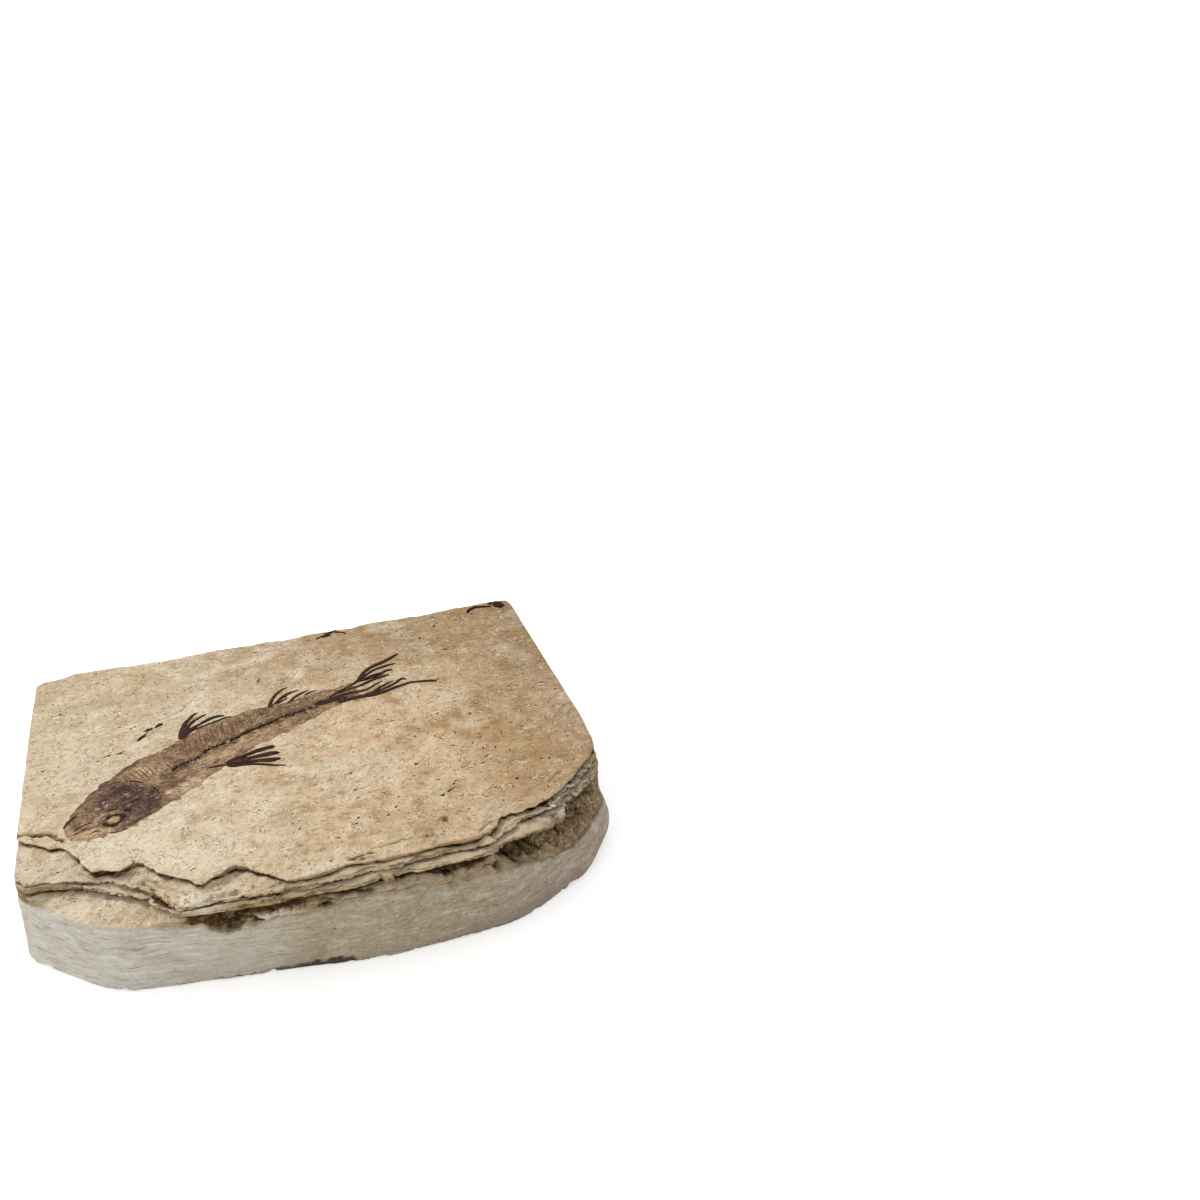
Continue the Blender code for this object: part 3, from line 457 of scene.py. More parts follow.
class SkinRows(list):
    """Rows of the stone's skin from the underside to the top sheet's lip: reach, height and looks."""

    def __init__(self, outline):
        super().__init__()
        self.outline = outline
        self.place = outline.place

    # the crack value is painted shade in the cracks, under the lips and in holes; the broken value is the
    # brown of broken faces, and under the lips it is painted shade too
    def row(self, reach, z, crack=0.0, sawn=0.0, broken_brown_and_shade=0.0, wall=None):
        """Adds a row. It never stands out past the sawn sides, and a wall row lies that far inside them."""
        z = np.broadcast_to(z, self.place.shape).astype(float)
        skin = self.outline.skin(z)
        if wall is not None:
            reach = skin - wall
        clipped = (reach >= skin - 0.01) & (np.abs(self.place) > ROUND_CORNER)
        looks = (np.where(clipped, 0.0, crack), np.where(clipped, 1.0, sawn), np.where(clipped, 0.0, broken_brown_and_shade))
        self.append((np.minimum(reach, skin), z, *np.broadcast_arrays(*looks)))

    def sheet_edge(self, sheet, above, depth, ledge_rows, seed):
        """Rows up a sheet's broken edge, in along its ledge and round the end of the next split between the
        sheets, with painted shade under the lip above and deep in that split.
        """
        outline = self.outline
        lip, under, gap, edge = sheet
        next_lip, next_under, next_gap = above
        is_open = np.clip(next_gap / 0.1, 0, 1)
        next_depth = (depth + 1.2 * next_gap) * is_open
        next_floor = next_under - next_gap
        near_lip = np.minimum(lip, 90)
        # painted shade on the underside of the lip, by how far the crack beneath it stands open
        self.row(np.minimum(lip, outline.skin(under)) - 0.06, under, crack=0.5 * np.clip(gap / 0.15, 0, 1))
        rise = np.minimum(edge, next_floor - under)
        shape = grain(outline.spots(near_lip, under), (5, 5, 1), 3, seed)
        for t in EDGE_PARTS:
            spot = outline.spots(near_lip, under + rise * t)
            layer = terraced(grain(spot, (7, 7, 0.35), 3, seed + 1), 0.25, 3) * 0.6
            layer = layer + np.abs(grain(spot, (1.3, 1.3, 0.5), 3, seed + 2)) * 0.5
            lump = facets(spot, (3.0, 3.0, 0.9), seed + 3) * at(CRAGGY, spot[:, 0])
            worn = 0.2 * (t == EDGE_PARTS[-1])
            self.row(lip - (layer + shape * 0.2 + lump * 0.35) - worn, under + rise * t)
        end = np.minimum(np.minimum(next_lip, lip), outline.skin(next_floor)) - next_depth
        begin = np.minimum(lip, outline.skin(next_floor)) - 0.3
        wide = np.clip((begin - end) / 3, 0, 1)
        for t in np.arange(1, ledge_rows + 1) / ledge_rows:
            reach = begin * (1 - t) + end * t
            spot = outline.spots(reach, under)
            swell = math.sin(math.pi * min(1, 0.12 + t * 0.92)) * wide
            zone = at(CRAGGY, spot[:, 0])
            z = under + rise + (next_floor - under - rise) * t
            chunk = grain(spot, (5, 2.6, 3), 4, seed + 4) * 0.5
            z = z + (chunk + grain(spot, (1.3, 0.9, 2), 3, seed + 5) * 0.14) * swell * zone
            z = z + facets(spot, (3.6, 2.4, 2.0), seed + 6) * 0.28 * swell * np.clip(zone - 0.5, 0, 1)
            z = z - top_cracks(*spot[:, :2].T, LEDGE_STEPS)[0] * 1.6 * (next_lip - reach < 0)
            # painted shade on the ledge where it lies under the next lip
            under_lip_shade = np.clip((next_lip - reach) / 0.4 + 0.1, 0, 1) * np.clip(next_depth / 0.3, 0, 1)
            self.row(reach, np.minimum(z, next_floor), crack=under_lip_shade)
        # the inner end of the crack, painted dark as shade
        self.row(end - 0.05 * is_open, next_under - next_gap * 0.5, crack=1.0)
        self.row(end, next_under, crack=is_open)

    def broken_strip(self, sheet, start, sawn_top, brown):
        """Rows over the broken strip and the shelf, and on under the first sheet to the end of its split,
        with painted shade under the lip and in the holes.
        """
        outline = self.outline
        lip, under, gap, _ = sheet
        whole = lip > NO_LIP / 5
        is_open = np.clip(gap / 0.15, 0, 1)
        cave = np.clip((gap - 1.0) / 1.6, 0, 0.85)
        lip_reach = np.minimum(lip, outline.skin(under))
        inner = lip_reach - (0.7 + 1.25 * gap) * is_open
        inner = np.where(whole, outline.skin(under), np.minimum(inner, start))
        floor_end = under - gap
        hollow = at(BROKEN_IN, self.place)
        wide = np.clip((start - inner - 3.0) / 4, 0, 1)
        steep = np.clip((floor_end - sawn_top) / np.maximum(start - inner, 0.3) - 0.4, 0, 1)
        for t in np.arange(1, SHELF_ROWS + 1) / SHELF_ROWS:
            inward = t ** 1.8 * (1 - wide) + t * wide
            rise = t ** 0.75 * (1 - wide) + t ** 0.9 * wide
            reach = start * (1 - inward) + inner * inward - hollow * math.sin(math.pi * t ** 0.7)
            z = sawn_top * (1 - rise) + floor_end * rise
            spot = outline.spots(reach, z)
            chunks = grain(spot, (3.5, 2.5, 1.6), 3, 35)
            swell = math.sin(math.pi * min(1, t * 1.04))
            z = z + (chunks * 0.22 + grain(spot, (1.2, 0.9, 2), 3, 36) * 0.16) * swell * (0.4 + 0.6 * wide)
            pitted = terraced(chunks, 0.45, 4) * 0.55 + grain(spot, (1.3, 1.3, 0.6), 3, 37) * 0.4
            reach = reach - steep * swell * (pitted * 0.5 + facets(spot, (2.2, 2.2, 1.0), 3) * 0.35 + 0.12)
            folds = facets(spot + np.array([[0.35, 0, 0]]) * z[:, None], (2.4, 2.4, 4.5), 5)
            reach = reach - brown * swell * (folds * 0.8 + np.abs(grain(spot, (1.1, 1.1, 1.1), 3, 39)) * 0.5)
            hole = holes(self.place, z)
            reach = reach - hole * 1.3
            # painted shade where the strip lies under the first sheet's lip, and in the holes; under the lip
            # the brown of broken faces is laid on as painted shade too
            under_lip_shade = np.clip((lip - 0.3 - reach) / 0.6, 0, 1) * is_open
            shade = np.maximum(under_lip_shade * (1 - 0.6 * brown) * (1 - cave), hole)
            z = np.minimum(z, np.where(whole, 99, under - 0.04))
            self.row(reach, z, crack=shade, broken_brown_and_shade=np.maximum(brown, under_lip_shade))
        # the inner end of the crack, painted dark as shade; in the wide hollow the brown of broken faces
        # instead
        self.row(inner - 0.12 * is_open, under - gap * 0.5, crack=is_open * (1 - cave), broken_brown_and_shade=cave)
        self.row(inner, under, crack=is_open * (1 - cave), broken_brown_and_shade=cave)
        self.row((inner + lip_reach) / 2, under + 0.02, crack=is_open)


def stone_rows(outline):
    """All rows of the stone's skin, in order."""
    rows = SkinRows(outline)
    place = outline.place
    spots = stacked(*outline.points.T, 0.0)
    sawn_top = at(SAWN_TOP, place) + grain(spots, 2.0, 3, 21) * 0.3 * (np.abs(place) < ROUND_CORNER + 1.5)
    brown = at(BROKEN_BROWN, place)
    base = outline.sheet(BASE_SHEET, 31, 0.5)
    second = outline.sheet(SECOND_SHEET, 41, 0.6)
    top_lip, top_under, top_gap = outline.sheet(TOP_SHEET, 51, 0.4)

    rows.row(outline.reach - 3.0, 0.0, sawn=1.0)
    rows.row(outline.reach - 0.55, 0.0, sawn=1.0)
    for i in range(WALL_ROWS):
        z = 0.22 + (sawn_top - 0.5) * (i / (WALL_ROWS - 1))
        rows.row(0.0, z, wall=0.12 * (i == 0), sawn=1.0)
    crumble = np.abs(grain(spots, 1.5, 3, 22)) * 0.3
    wall_top = outline.skin(sawn_top)
    start = wall_top - 0.35 - crumble
    rows.row(wall_top - 0.1 - crumble * 0.5, sawn_top - 0.08, sawn=0.7, broken_brown_and_shade=brown * 0.6)
    rows.row(start, sawn_top + 0.05, sawn=0.3, broken_brown_and_shade=brown)
    rows.broken_strip(base, start, sawn_top, brown)
    rows.sheet_edge(base, second[:3], 0.45, 9, 61)
    rows.sheet_edge(second, (top_lip, top_under, top_gap), 0.5, 18, 71)

    # the top sheet's broken edge, up to its lip
    worn = np.abs(grain(spots, 1.3, 2, 81)) * 0.12
    lip = np.minimum(top_lip, outline.skin(TOP))
    # painted shade on the underside of the top sheet's lip
    rows.row(lip - 0.06, top_under, crack=0.5 * np.clip(top_gap / 0.15, 0, 1))
    rows.row(lip, top_under * 0.75 + TOP * 0.25)
    rows.row(lip - worn * 0.5, top_under * 0.35 + TOP * 0.65 - 0.05)
    lip_height = top_height(*outline.spots(lip - 0.4, 0).T[:2])
    rows.row(lip - 0.1 - worn, lip_height - 0.1)
    rows.row(lip - 0.35 - worn, lip_height)
    return rows


def grid_net(bm, columns, rows):
    """Makes a grid and gives each of its vertices with its column and row."""
    made = bmesh.ops.create_grid(bm, x_segments=columns, y_segments=rows, size=1.0)
    return [(v, round((v.co.x + 1) / 2 * columns), round((v.co.y + 1) / 2 * rows)) for v in made["verts"]]


def build_stone(outline):
    """The whole stone: its rows wrapped round the outline, then its underside and its top face."""
    rows = stone_rows(outline)
    bm = bmesh.new()
    layers = [bm.verts.layers.float.new(name) for name in ("crack", "sawn", "broken_brown_and_shade")]
    for v, column, row in grid_net(bm, outline.count, len(rows) - 1):
        column = column % outline.count
        reach, z, *looks = rows[row]
        x, y = outline.ray[column] * reach[column]
        v.co = Vector((x, y, z[column])) * MM
        for layer, values in zip(layers, looks):
            v[layer] = values[column]
    bmesh.ops.remove_doubles(bm, verts=bm.verts, dist=0.03 * MM)
    bmesh.ops.dissolve_degenerate(bm, edges=bm.edges, dist=0.01 * MM)
    rims = [e for e in bm.edges if e.is_boundary]
    low_rim = [e for e in rims if e.verts[0].co.z < TOP / 2 * MM]
    high_rim = [e for e in rims if e.verts[0].co.z > TOP / 2 * MM]
    bmesh.ops.triangle_fill(bm, use_beauty=True, edges=low_rim)
    fill_top(bm, high_rim, rows[-1][0], outline)
    bmesh.ops.recalc_face_normals(bm, faces=bm.faces)
    return bm


def fill_top(bm, rim, reach, outline):
    """A grid inside the top sheet's lip, finer along the cracks, joined to the lip by triangles."""
    crack_layer = bm.verts.layers.float["crack"]
    counts = [round(2 * half / TOP_STEP) for half in (SIDE, BACK)]
    made = bmesh.ops.create_grid(bm, x_segments=counts[0], y_segments=counts[1], size=1.0)
    verts = made["verts"]
    order = np.argsort(outline.angle)
    for v in verts:
        v.co.x *= SIDE
        v.co.y *= BACK
    places = np.array([v.co[:2] for v in verts])
    angles = np.arctan2(places[:, 0], -places[:, 1])
    limit = np.interp(angles, outline.angle[order], reach[order], period=2 * math.pi)
    room = limit - np.linalg.norm(places, axis=1)
    outside = [v for v, free in zip(verts, room) if free < TOP_STEP * 0.75]
    bmesh.ops.delete(bm, geom=outside, context="VERTS")
    grid = [v for v in verts if v.is_valid]
    bmesh.ops.delete(bm, geom=[v for v in grid if not v.link_faces], context="VERTS")
    grid = [v for v in grid if v.is_valid]
    places = np.array([v.co[:2] for v in grid])
    nearest = np.full(len(grid), 99.0)
    for *_, points in TOP_CRACKS:
        nearest = np.minimum(nearest, line_offsets(*places.T, points)[0])
    close = {v for v, far in zip(grid, nearest) if far < 0.8}
    edges = {e for v in close for e in v.link_edges if e.other_vert(v) in close}
    for v in grid:
        v[crack_layer] = 2.0                # a mark, passed on to the vertices that the cuts add
    bmesh.ops.subdivide_edges(bm, edges=list(edges), cuts=2, use_grid_fill=True)
    grid = [v for v in bm.verts if v[crack_layer] > 1.5]
    places = np.array([v.co[:2] for v in grid])
    heights = top_height(*places.T)
    # painted shade in the cracks of the top face, written into the vertices below
    crack_shades = top_cracks(*places.T)[1]
    for v, z, dark in zip(grid, heights, crack_shades):
        v.co = Vector((v.co.x, v.co.y, z)) * MM
        v[crack_layer] = dark
    grid_rim = {e for v in grid for e in v.link_edges if e.is_boundary}
    bmesh.ops.triangle_fill(bm, use_beauty=True, edges=list(rim) + list(grid_rim))


# Materials. Pattern sizes are millimetres on the stone: the object coordinates are scaled to millimetres
# once, and a pattern's scale is one over its size.

def linear(hex_colour):
    """An sRGB hex colour as linear red, green, blue and alpha."""
    channels = [int(hex_colour[i:i + 2], 16) / 255 for i in (1, 3, 5)]
    return (*(c / 12.92 if c <= 0.04045 else ((c + 0.055) / 1.055) ** 2.4 for c in channels), 1)


def node(tree, kind, settings=None, **links):
    """Adds a node, sets its properties and sockets, and links what is given as an output socket."""
    made = tree.nodes.new("ShaderNode" + kind)
    for key, value in (settings or {}).items():
        if hasattr(made, key):
            setattr(made, key, value)
        else:
            made.inputs[int(key) if key.isdigit() else key].default_value = value
    for key, source in links.items():
        socket = made.inputs[int(key[1:])] if key[1:].isdigit() else made.inputs[key.replace("_", " ")]
        tree.links.new(source, socket)
    return made


def product(tree, first, *others):
    """Several shares multiplied: the first is a socket, and each other one a socket or a number."""
    for other in others:
        first = maths(tree, "MULTIPLY", first, other)
    return first


def over(tree, under, colour, *shares):
    """A colour laid over another by the product of its shares. Each colour is a hex colour or a socket."""
    mix = node(tree, "Mix", {"data_type": "RGBA"}, _0=product(tree, *shares))
    for socket, value in ((mix.inputs[6], under), (mix.inputs[7], colour)):
        if isinstance(value, str):
            socket.default_value = linear(value)
        else:
            tree.links.new(value, socket)
    return mix.outputs[2]


def veined(tree, under, value, tints, *shares):
    """Tints laid over a colour along a value: each is a colour, where it starts, where it is full and the
    share that it then has."""
    for colour, start, full, most in tints:
        under = over(tree, under, colour, ranged(tree, value, start, full, 0.0, most), *shares)
    return under


def ranged(tree, value, low, high, to_low=0.0, to_high=1.0, soft=True):
    """A value moved from one range to another, clamped."""
    settings = {"interpolation_type": "SMOOTHSTEP" if soft else "LINEAR",
                "1": low, "2": high, "3": to_low, "4": to_high}
    return node(tree, "MapRange", settings, _0=value).outputs["Result"]


def maths(tree, operation, a, b):
    """Two values joined; b is a number or a socket."""
    made = node(tree, "Math", {"operation": operation}, _0=a)
    if isinstance(b, (int, float)):
        made.inputs[1].default_value = b
    else:
        tree.links.new(b, made.inputs[1])
    return made.outputs["Value"]


def cloud(tree, place, size, detail=3.0, rough=0.55, sizes=None, turn=0.0, tilt=0.0):
    """Noise with features of a size in millimetres, or of a size along each axis when turned."""
    if sizes:
        angles = (0, math.radians(tilt), math.radians(turn))
        place = node(tree, "Mapping", {"vector_type": "TEXTURE", "Scale": sizes, "Rotation": angles},
                     Vector=place).outputs[0]
        size = 1.0
    return node(tree, "TexNoise", {"Scale": 1 / size, "Detail": detail, "Roughness": rough},
                Vector=place).outputs["Fac"]


def unsettled(tree, place, size, amount):
    """Coordinates pushed about by noise, for ragged outlines."""
    push = node(tree, "TexNoise", {"Scale": 1 / size, "Detail": 3.0}, Vector=place)
    moved = node(tree, "VectorMath", {"operation": "MULTIPLY_ADD", "1": (amount, amount, amount)},
                 _0=push.outputs["Color"], _2=place)
    return moved.outputs[0]


def specks(tree, place, cell, stretch, turn, radius, many):
    """Scattered ragged specks: one in each chosen cell, drawn out along a direction, each of its own
    strength. many is a share or a socket."""
    ragged = unsettled(tree, place, cell * 0.4, cell * 1.3)
    turned = node(tree, "Mapping", {"vector_type": "TEXTURE", "Scale": (cell * stretch, cell, cell),
                                    "Rotation": (0, 0, math.radians(turn))}, Vector=ragged).outputs[0]
    cells = node(tree, "TexVoronoi", {"Scale": 1.0, "Randomness": 1.0}, Vector=turned)
    lot = node(tree, "SeparateColor", _0=cells.outputs["Color"])
    chosen = maths(tree, "LESS_THAN", lot.outputs[0], many)
    size = ranged(tree, lot.outputs[1], 0.0, 1.0, radius * 0.4, radius, soft=False)
    depth = maths(tree, "SUBTRACT", size, cells.outputs["Distance"])
    strength = ranged(tree, lot.outputs[2], 0.0, 1.0, 0.35, 1.0, soft=False)
    return product(tree, ranged(tree, depth, 0.0, radius * 0.3), chosen, strength)


def attribute(tree, name):
    """A value painted on the piece's vertices."""
    return node(tree, "Attribute", {"attribute_name": name}).outputs["Fac"]


def ramp(tree, value, stops):
    """Colours along a value, as (position, hex)."""
    made = node(tree, "ValToRGB", _0=value)
    elements = made.color_ramp.elements
    while len(elements) < len(stops):
        elements.new(0.5)
    for element, (position, colour) in zip(elements, stops):
        element.position = position
        element.color = linear(colour)
    return made.outputs["Color"]


def begin(name):
    """A new material's tree, its shader, and object coordinates in millimetres."""
    material = bpy.data.materials.new(name)
    material.use_nodes = True
    tree = material.node_tree
    spot = node(tree, "TexCoord").outputs["Object"]
    place = node(tree, "Mapping", {"Scale": (1 / MM, 1 / MM, 1 / MM)}, Vector=spot).outputs[0]
    return material, tree, tree.nodes["Principled BSDF"], place


def flakes(tree, place):
    """A sawtooth from 0 to 1 that drops at ragged outlines, like the edges of thin flakes."""
    return maths(tree, "FRACT", product(tree, cloud(tree, place, 4.2, 4.0, 0.6), 7.0), 0.0)


def dented(tree, place):
    """Shallow dents, a little longer along the fish."""
    return cloud(tree, unsettled(tree, place, 1.6, 0.9), 1, 4.0, 0.62, (1.8, 1.2, 1.2), -19)


def surface(material, shader, colour, relief, roughness, specular):
    """Gives a shader its colour, relief and finish."""
    links = material.node_tree.links
    links.new(colour, shader.inputs["Base Color"])
    links.new(relief.outputs[0], shader.inputs["Normal"])
    shader.inputs["Roughness"].default_value = roughness
    shader.inputs["Specular IOR Level"].default_value = specular
    return material


def split_rock(tree, place):
    """The colour of the split faces: cream at the left to tan at the right, with soft patches of warmer and
    greener grey and faint grain. Some pale patches are painted highlight and painted light, the dents are
    painted dark in their hollows and pale on their rises, and the broken flake outlines carry a painted
    shade line and a painted highlight line."""
    axes = node(tree, "SeparateXYZ", Vector=place)
    slow = cloud(tree, place, 22, 2.0)
    drift = maths(tree, "MULTIPLY_ADD", slow, 40.0)
    drift.node.inputs[2].default_value = -20.0
    across = ranged(tree, maths(tree, "ADD", axes.outputs[0], drift), -58, 58, soft=False)
    colour = ramp(tree, across, [(0.0, "#BEAE93"), (0.3, "#C0AF93"), (0.5, "#BCA587"), (0.68, "#BFA585"),
                                 (0.85, "#A98D6D"), (1.0, "#937A5E")])
    rightward = ranged(tree, across, 0.2, 0.85, 0.35, 1.0)
    colour = veined(tree, colour, axes.outputs[1], [("#8B7456", 2, 40, 0.8)], rightward)
    # pale patches, with painted highlight on the lit bulge and chunk of the front and painted light on the
    # shaded shelf
    colour = over(tree, colour, "#CBBDA7", attribute(tree, "pale"))
    warm = cloud(tree, place, 6, 6.0, 0.7)
    colour = over(tree, colour, "#91703F", attribute(tree, "ochre"), ranged(tree, warm, 0.34, 0.6, 0.2, 1.0))
    hue = cloud(tree, place, 11, 3.0, 0.5)
    colour = veined(tree, colour, hue, [("#AE9474", 0.52, 0.68, 0.4), ("#A9A088", 0.48, 0.34, 0.35)])
    mottle = cloud(tree, place, 5.5, 9.0, 0.76)
    browner, paler = ranged(tree, across, 0.2, 0.85, 0.35, 0.7), ranged(tree, across, 0.3, 0.9, 0.5, 0.2)
    colour = veined(tree, colour, mottle, [("#846846", 0.5, 0.64, 1.0)], browner)
    colour = veined(tree, colour, mottle, [("#D2C7B1", 0.5, 0.38, 1.0)], paler)
    # painted shade in the hollows of the dents and painted highlight on their rises
    dents = dented(tree, place)
    colour = veined(tree, colour, dents, [("#745E3E", 0.44, 0.33, 0.5), ("#DDD3BF", 0.58, 0.7, 0.3)])
    fine = cloud(tree, place, 0.45, 3.0, 0.65)
    colour = veined(tree, colour, fine, [("#6B563B", 0.54, 0.72, 0.45)])
    # flake outlines with a painted shade line and a painted highlight line beside it
    seen = ranged(tree, cloud(tree, place, 3.4, 3.0), 0.46, 0.6)
    rims = [("#705A3A", 0.2, 0.0, 1.0), ("#E0D7C4", 0.76, 0.98, 0.6)]
    return veined(tree, colour, flakes(tree, place), rims, seen), across


def limestone():
    """Split and sawn laminated limestone. The colour drifts from cream to tan along the slab, with ochre
    stains, soft patches, thin flake edges and scattered dark specks and slits, so the eye reads a natural
    bedding plane. The flake edges, the dents and the rims of the specks and slits carry painted highlight
    and painted shade, and some pale patches are painted highlight and painted light. The sawn sides are
    greyer with faint wavy streaks, the broken faces are layered, and painted shade fills the cracks, the
    holes and the undersides of the lips, brown at the left and nearly black at the right."""
    material, tree, shader, place = begin("split_limestone")
    colour, across = split_rock(tree, place)
    clusters = ranged(tree, cloud(tree, place, 8, 3.0), 0.4, 0.62, 0.25, 1.0)
    many = product(tree, ranged(tree, across, 0.2, 0.9, 0.2, 1.0), clusters)
    dot_share = product(tree, many, 0.7)
    slit_share = product(tree, many, 0.3)
    # pale specks set a little beside the dark dots and slits below: painted highlights on their rims
    beside = node(tree, "Mapping", {"1": (0.08, 0.3, 0.0)}, Vector=place).outputs[0]
    rims = specks(tree, beside, 1.3, 1.25, -19, 0.3, dot_share)
    painted_long_highlights = specks(tree, beside, 2.1, 2.6, 28, 0.25, slit_share)
    colour = over(tree, colour, "#DDD3BF", rims, 0.55)
    colour = over(tree, colour, "#E6DDCB", painted_long_highlights, 0.75)
    tiny = specks(tree, place, 0.6, 1.2, 40, 0.38, product(tree, many, 0.5))
    colour = over(tree, colour, "#67492A", tiny, 0.6)
    colour = over(tree, colour, "#2A1909", specks(tree, place, 1.3, 1.25, -19, 0.34, dot_share))
    colour = over(tree, colour, "#1E1208", specks(tree, place, 2.1, 2.6, 28, 0.26, slit_share))
    colour = over(tree, colour, "#B19D78", attribute(tree, "ledge"), 0.35)
    colour = over(tree, colour, "#A79A8B", attribute(tree, "grey"), 0.9)
    dust = ranged(tree, cloud(tree, place, 3.0, 5.0, 0.65), 0.38, 0.62, 0.95, 0.55)
    colour = over(tree, colour, "#B2A38A", attribute(tree, "dusty"), dust)
    wavy = unsettled(tree, place, 3.0, 0.6)
    seams = cloud(tree, wavy, 1, 4.0, 0.65, (6, 6, 0.22))
    edge = ramp(tree, seams, [(0.4, "#3D2A10"), (0.46, "#765D3A"), (0.54, "#9E845C"), (0.66, "#BAA47D")])
    colour = over(tree, colour, edge, attribute(tree, "steep"), 0.85)
    strands = cloud(tree, wavy, 1, 4.0, 0.7, (5.0, 5.0, 0.13))
    strand = ramp(tree, strands, [(0.4, "#45352A"), (0.47, "#7C6B57"), (0.54, "#A19280"), (0.64, "#C8BCAC")])
    colour = over(tree, colour, strand, attribute(tree, "fibre"), 0.92)

    level = unsettled(tree, place, 6.0, 1.6)
    streaks = cloud(tree, level, 1, 5.0, 0.65, (6, 6, 0.75))
    lines = cloud(tree, level, 1, 3.0, 0.6, (4, 4, 0.24))
    strokes = cloud(tree, unsettled(tree, place, 1.4, 1.0), 1, 5.0, 0.7, (1.0, 1.0, 0.5), tilt=-38)
    cut = ramp(tree, across, [(0.0, "#B8B3A9"), (0.25, "#AFA99C"), (0.45, "#9A8E77"), (0.7, "#938671"),
                              (0.85, "#908475"), (1.0, "#978A7E")])
    left = ranged(tree, across, 0.42, 0.2, 0.15, 1.0)
    cut = veined(tree, cut, streaks, [("#948D7E", 0.5, 0.68, 0.5), ("#C9C8C2", 0.48, 0.34, 0.5)], left)
    soft = cloud(tree, level, 1, 4.0, 0.6, (5, 5, 2.2))
    inland = ranged(tree, across, 0.25, 0.5, 0.3, 1.0)
    cut = veined(tree, cut, soft, [("#82765F", 0.5, 0.66, 0.5), ("#B7AFA0", 0.48, 0.34, 0.4)], inland)
    cut = veined(tree, cut, lines, [("#6A5E48", 0.56, 0.68, 0.6), ("#C6BDAB", 0.44, 0.3, 0.4)])
    gritty = ranged(tree, across, 0.25, 0.5, 0.15, 0.5)
    cut = veined(tree, cut, strokes, [("#685B41", 0.52, 0.7, 1.0), ("#B9AE97", 0.47, 0.34, 1.0)], gritty)
    height = node(tree, "SeparateXYZ", Vector=place).outputs[2]
    cut = veined(tree, cut, height, [("#7A6D69", 5.0, 0.5, 0.5)], ranged(tree, across, 0.5, 0.8))
    cut = over(tree, cut, "#4D413A", attribute(tree, "stain"))
    colour = over(tree, colour, cut, attribute(tree, "sawn"))
    pits = specks(tree, place, 3.0, 1.2, 0, 0.16, 0.3)
    colour = over(tree, colour, "#43382A", pits, attribute(tree, "sawn"))
    broken = ramp(tree, cloud(tree, unsettled(tree, place, 2.0, 1.0), 1.2, 6.0, 0.8),
                  [(0.36, "#2E200F"), (0.45, "#5E4B31"), (0.54, "#7C6A4F"), (0.64, "#AE9C83")])
    # the brown of broken faces, also laid under the lips and in the hollow as painted shade
    colour = over(tree, colour, broken, attribute(tree, "broken_brown_and_shade"))
    # painted shade in the cracks, under the lips and in the holes, brown at the left and nearly black at the
    # right
    gap = ranged(tree, cloud(tree, place, 1.8, 3.0), 0.38, 0.55, 0.5, 1.0)
    painted_crack_shade = ramp(tree, across, [(0.1, "#5E3F1A"), (0.3, "#4B3112"), (0.5, "#3A240B"), (0.7, "#2A1806")])
    colour = over(tree, colour, painted_crack_shade, attribute(tree, "crack"), gap)

    grit = cloud(tree, place, 0.5, 5.0, 0.7)
    thin = node(tree, "Bump", {"Strength": 0.7, "Distance": 0.1 * MM}, Height=grit)
    lifted = node(tree, "Bump", {"Strength": 1.0, "Distance": 0.2 * MM}, Height=flakes(tree, place),
                  Normal=thin.outputs[0])
    rows = node(tree, "Bump", {"Strength": 0.4, "Distance": 0.1 * MM}, Height=strokes,
                Normal=lifted.outputs[0])
    dents = dented(tree, place)
    bumps = node(tree, "Bump", {"Strength": 0.9, "Distance": 0.6 * MM}, Height=dents, Normal=rows.outputs[0])
    return surface(material, shader, colour, bumps, 0.95, 0.06)


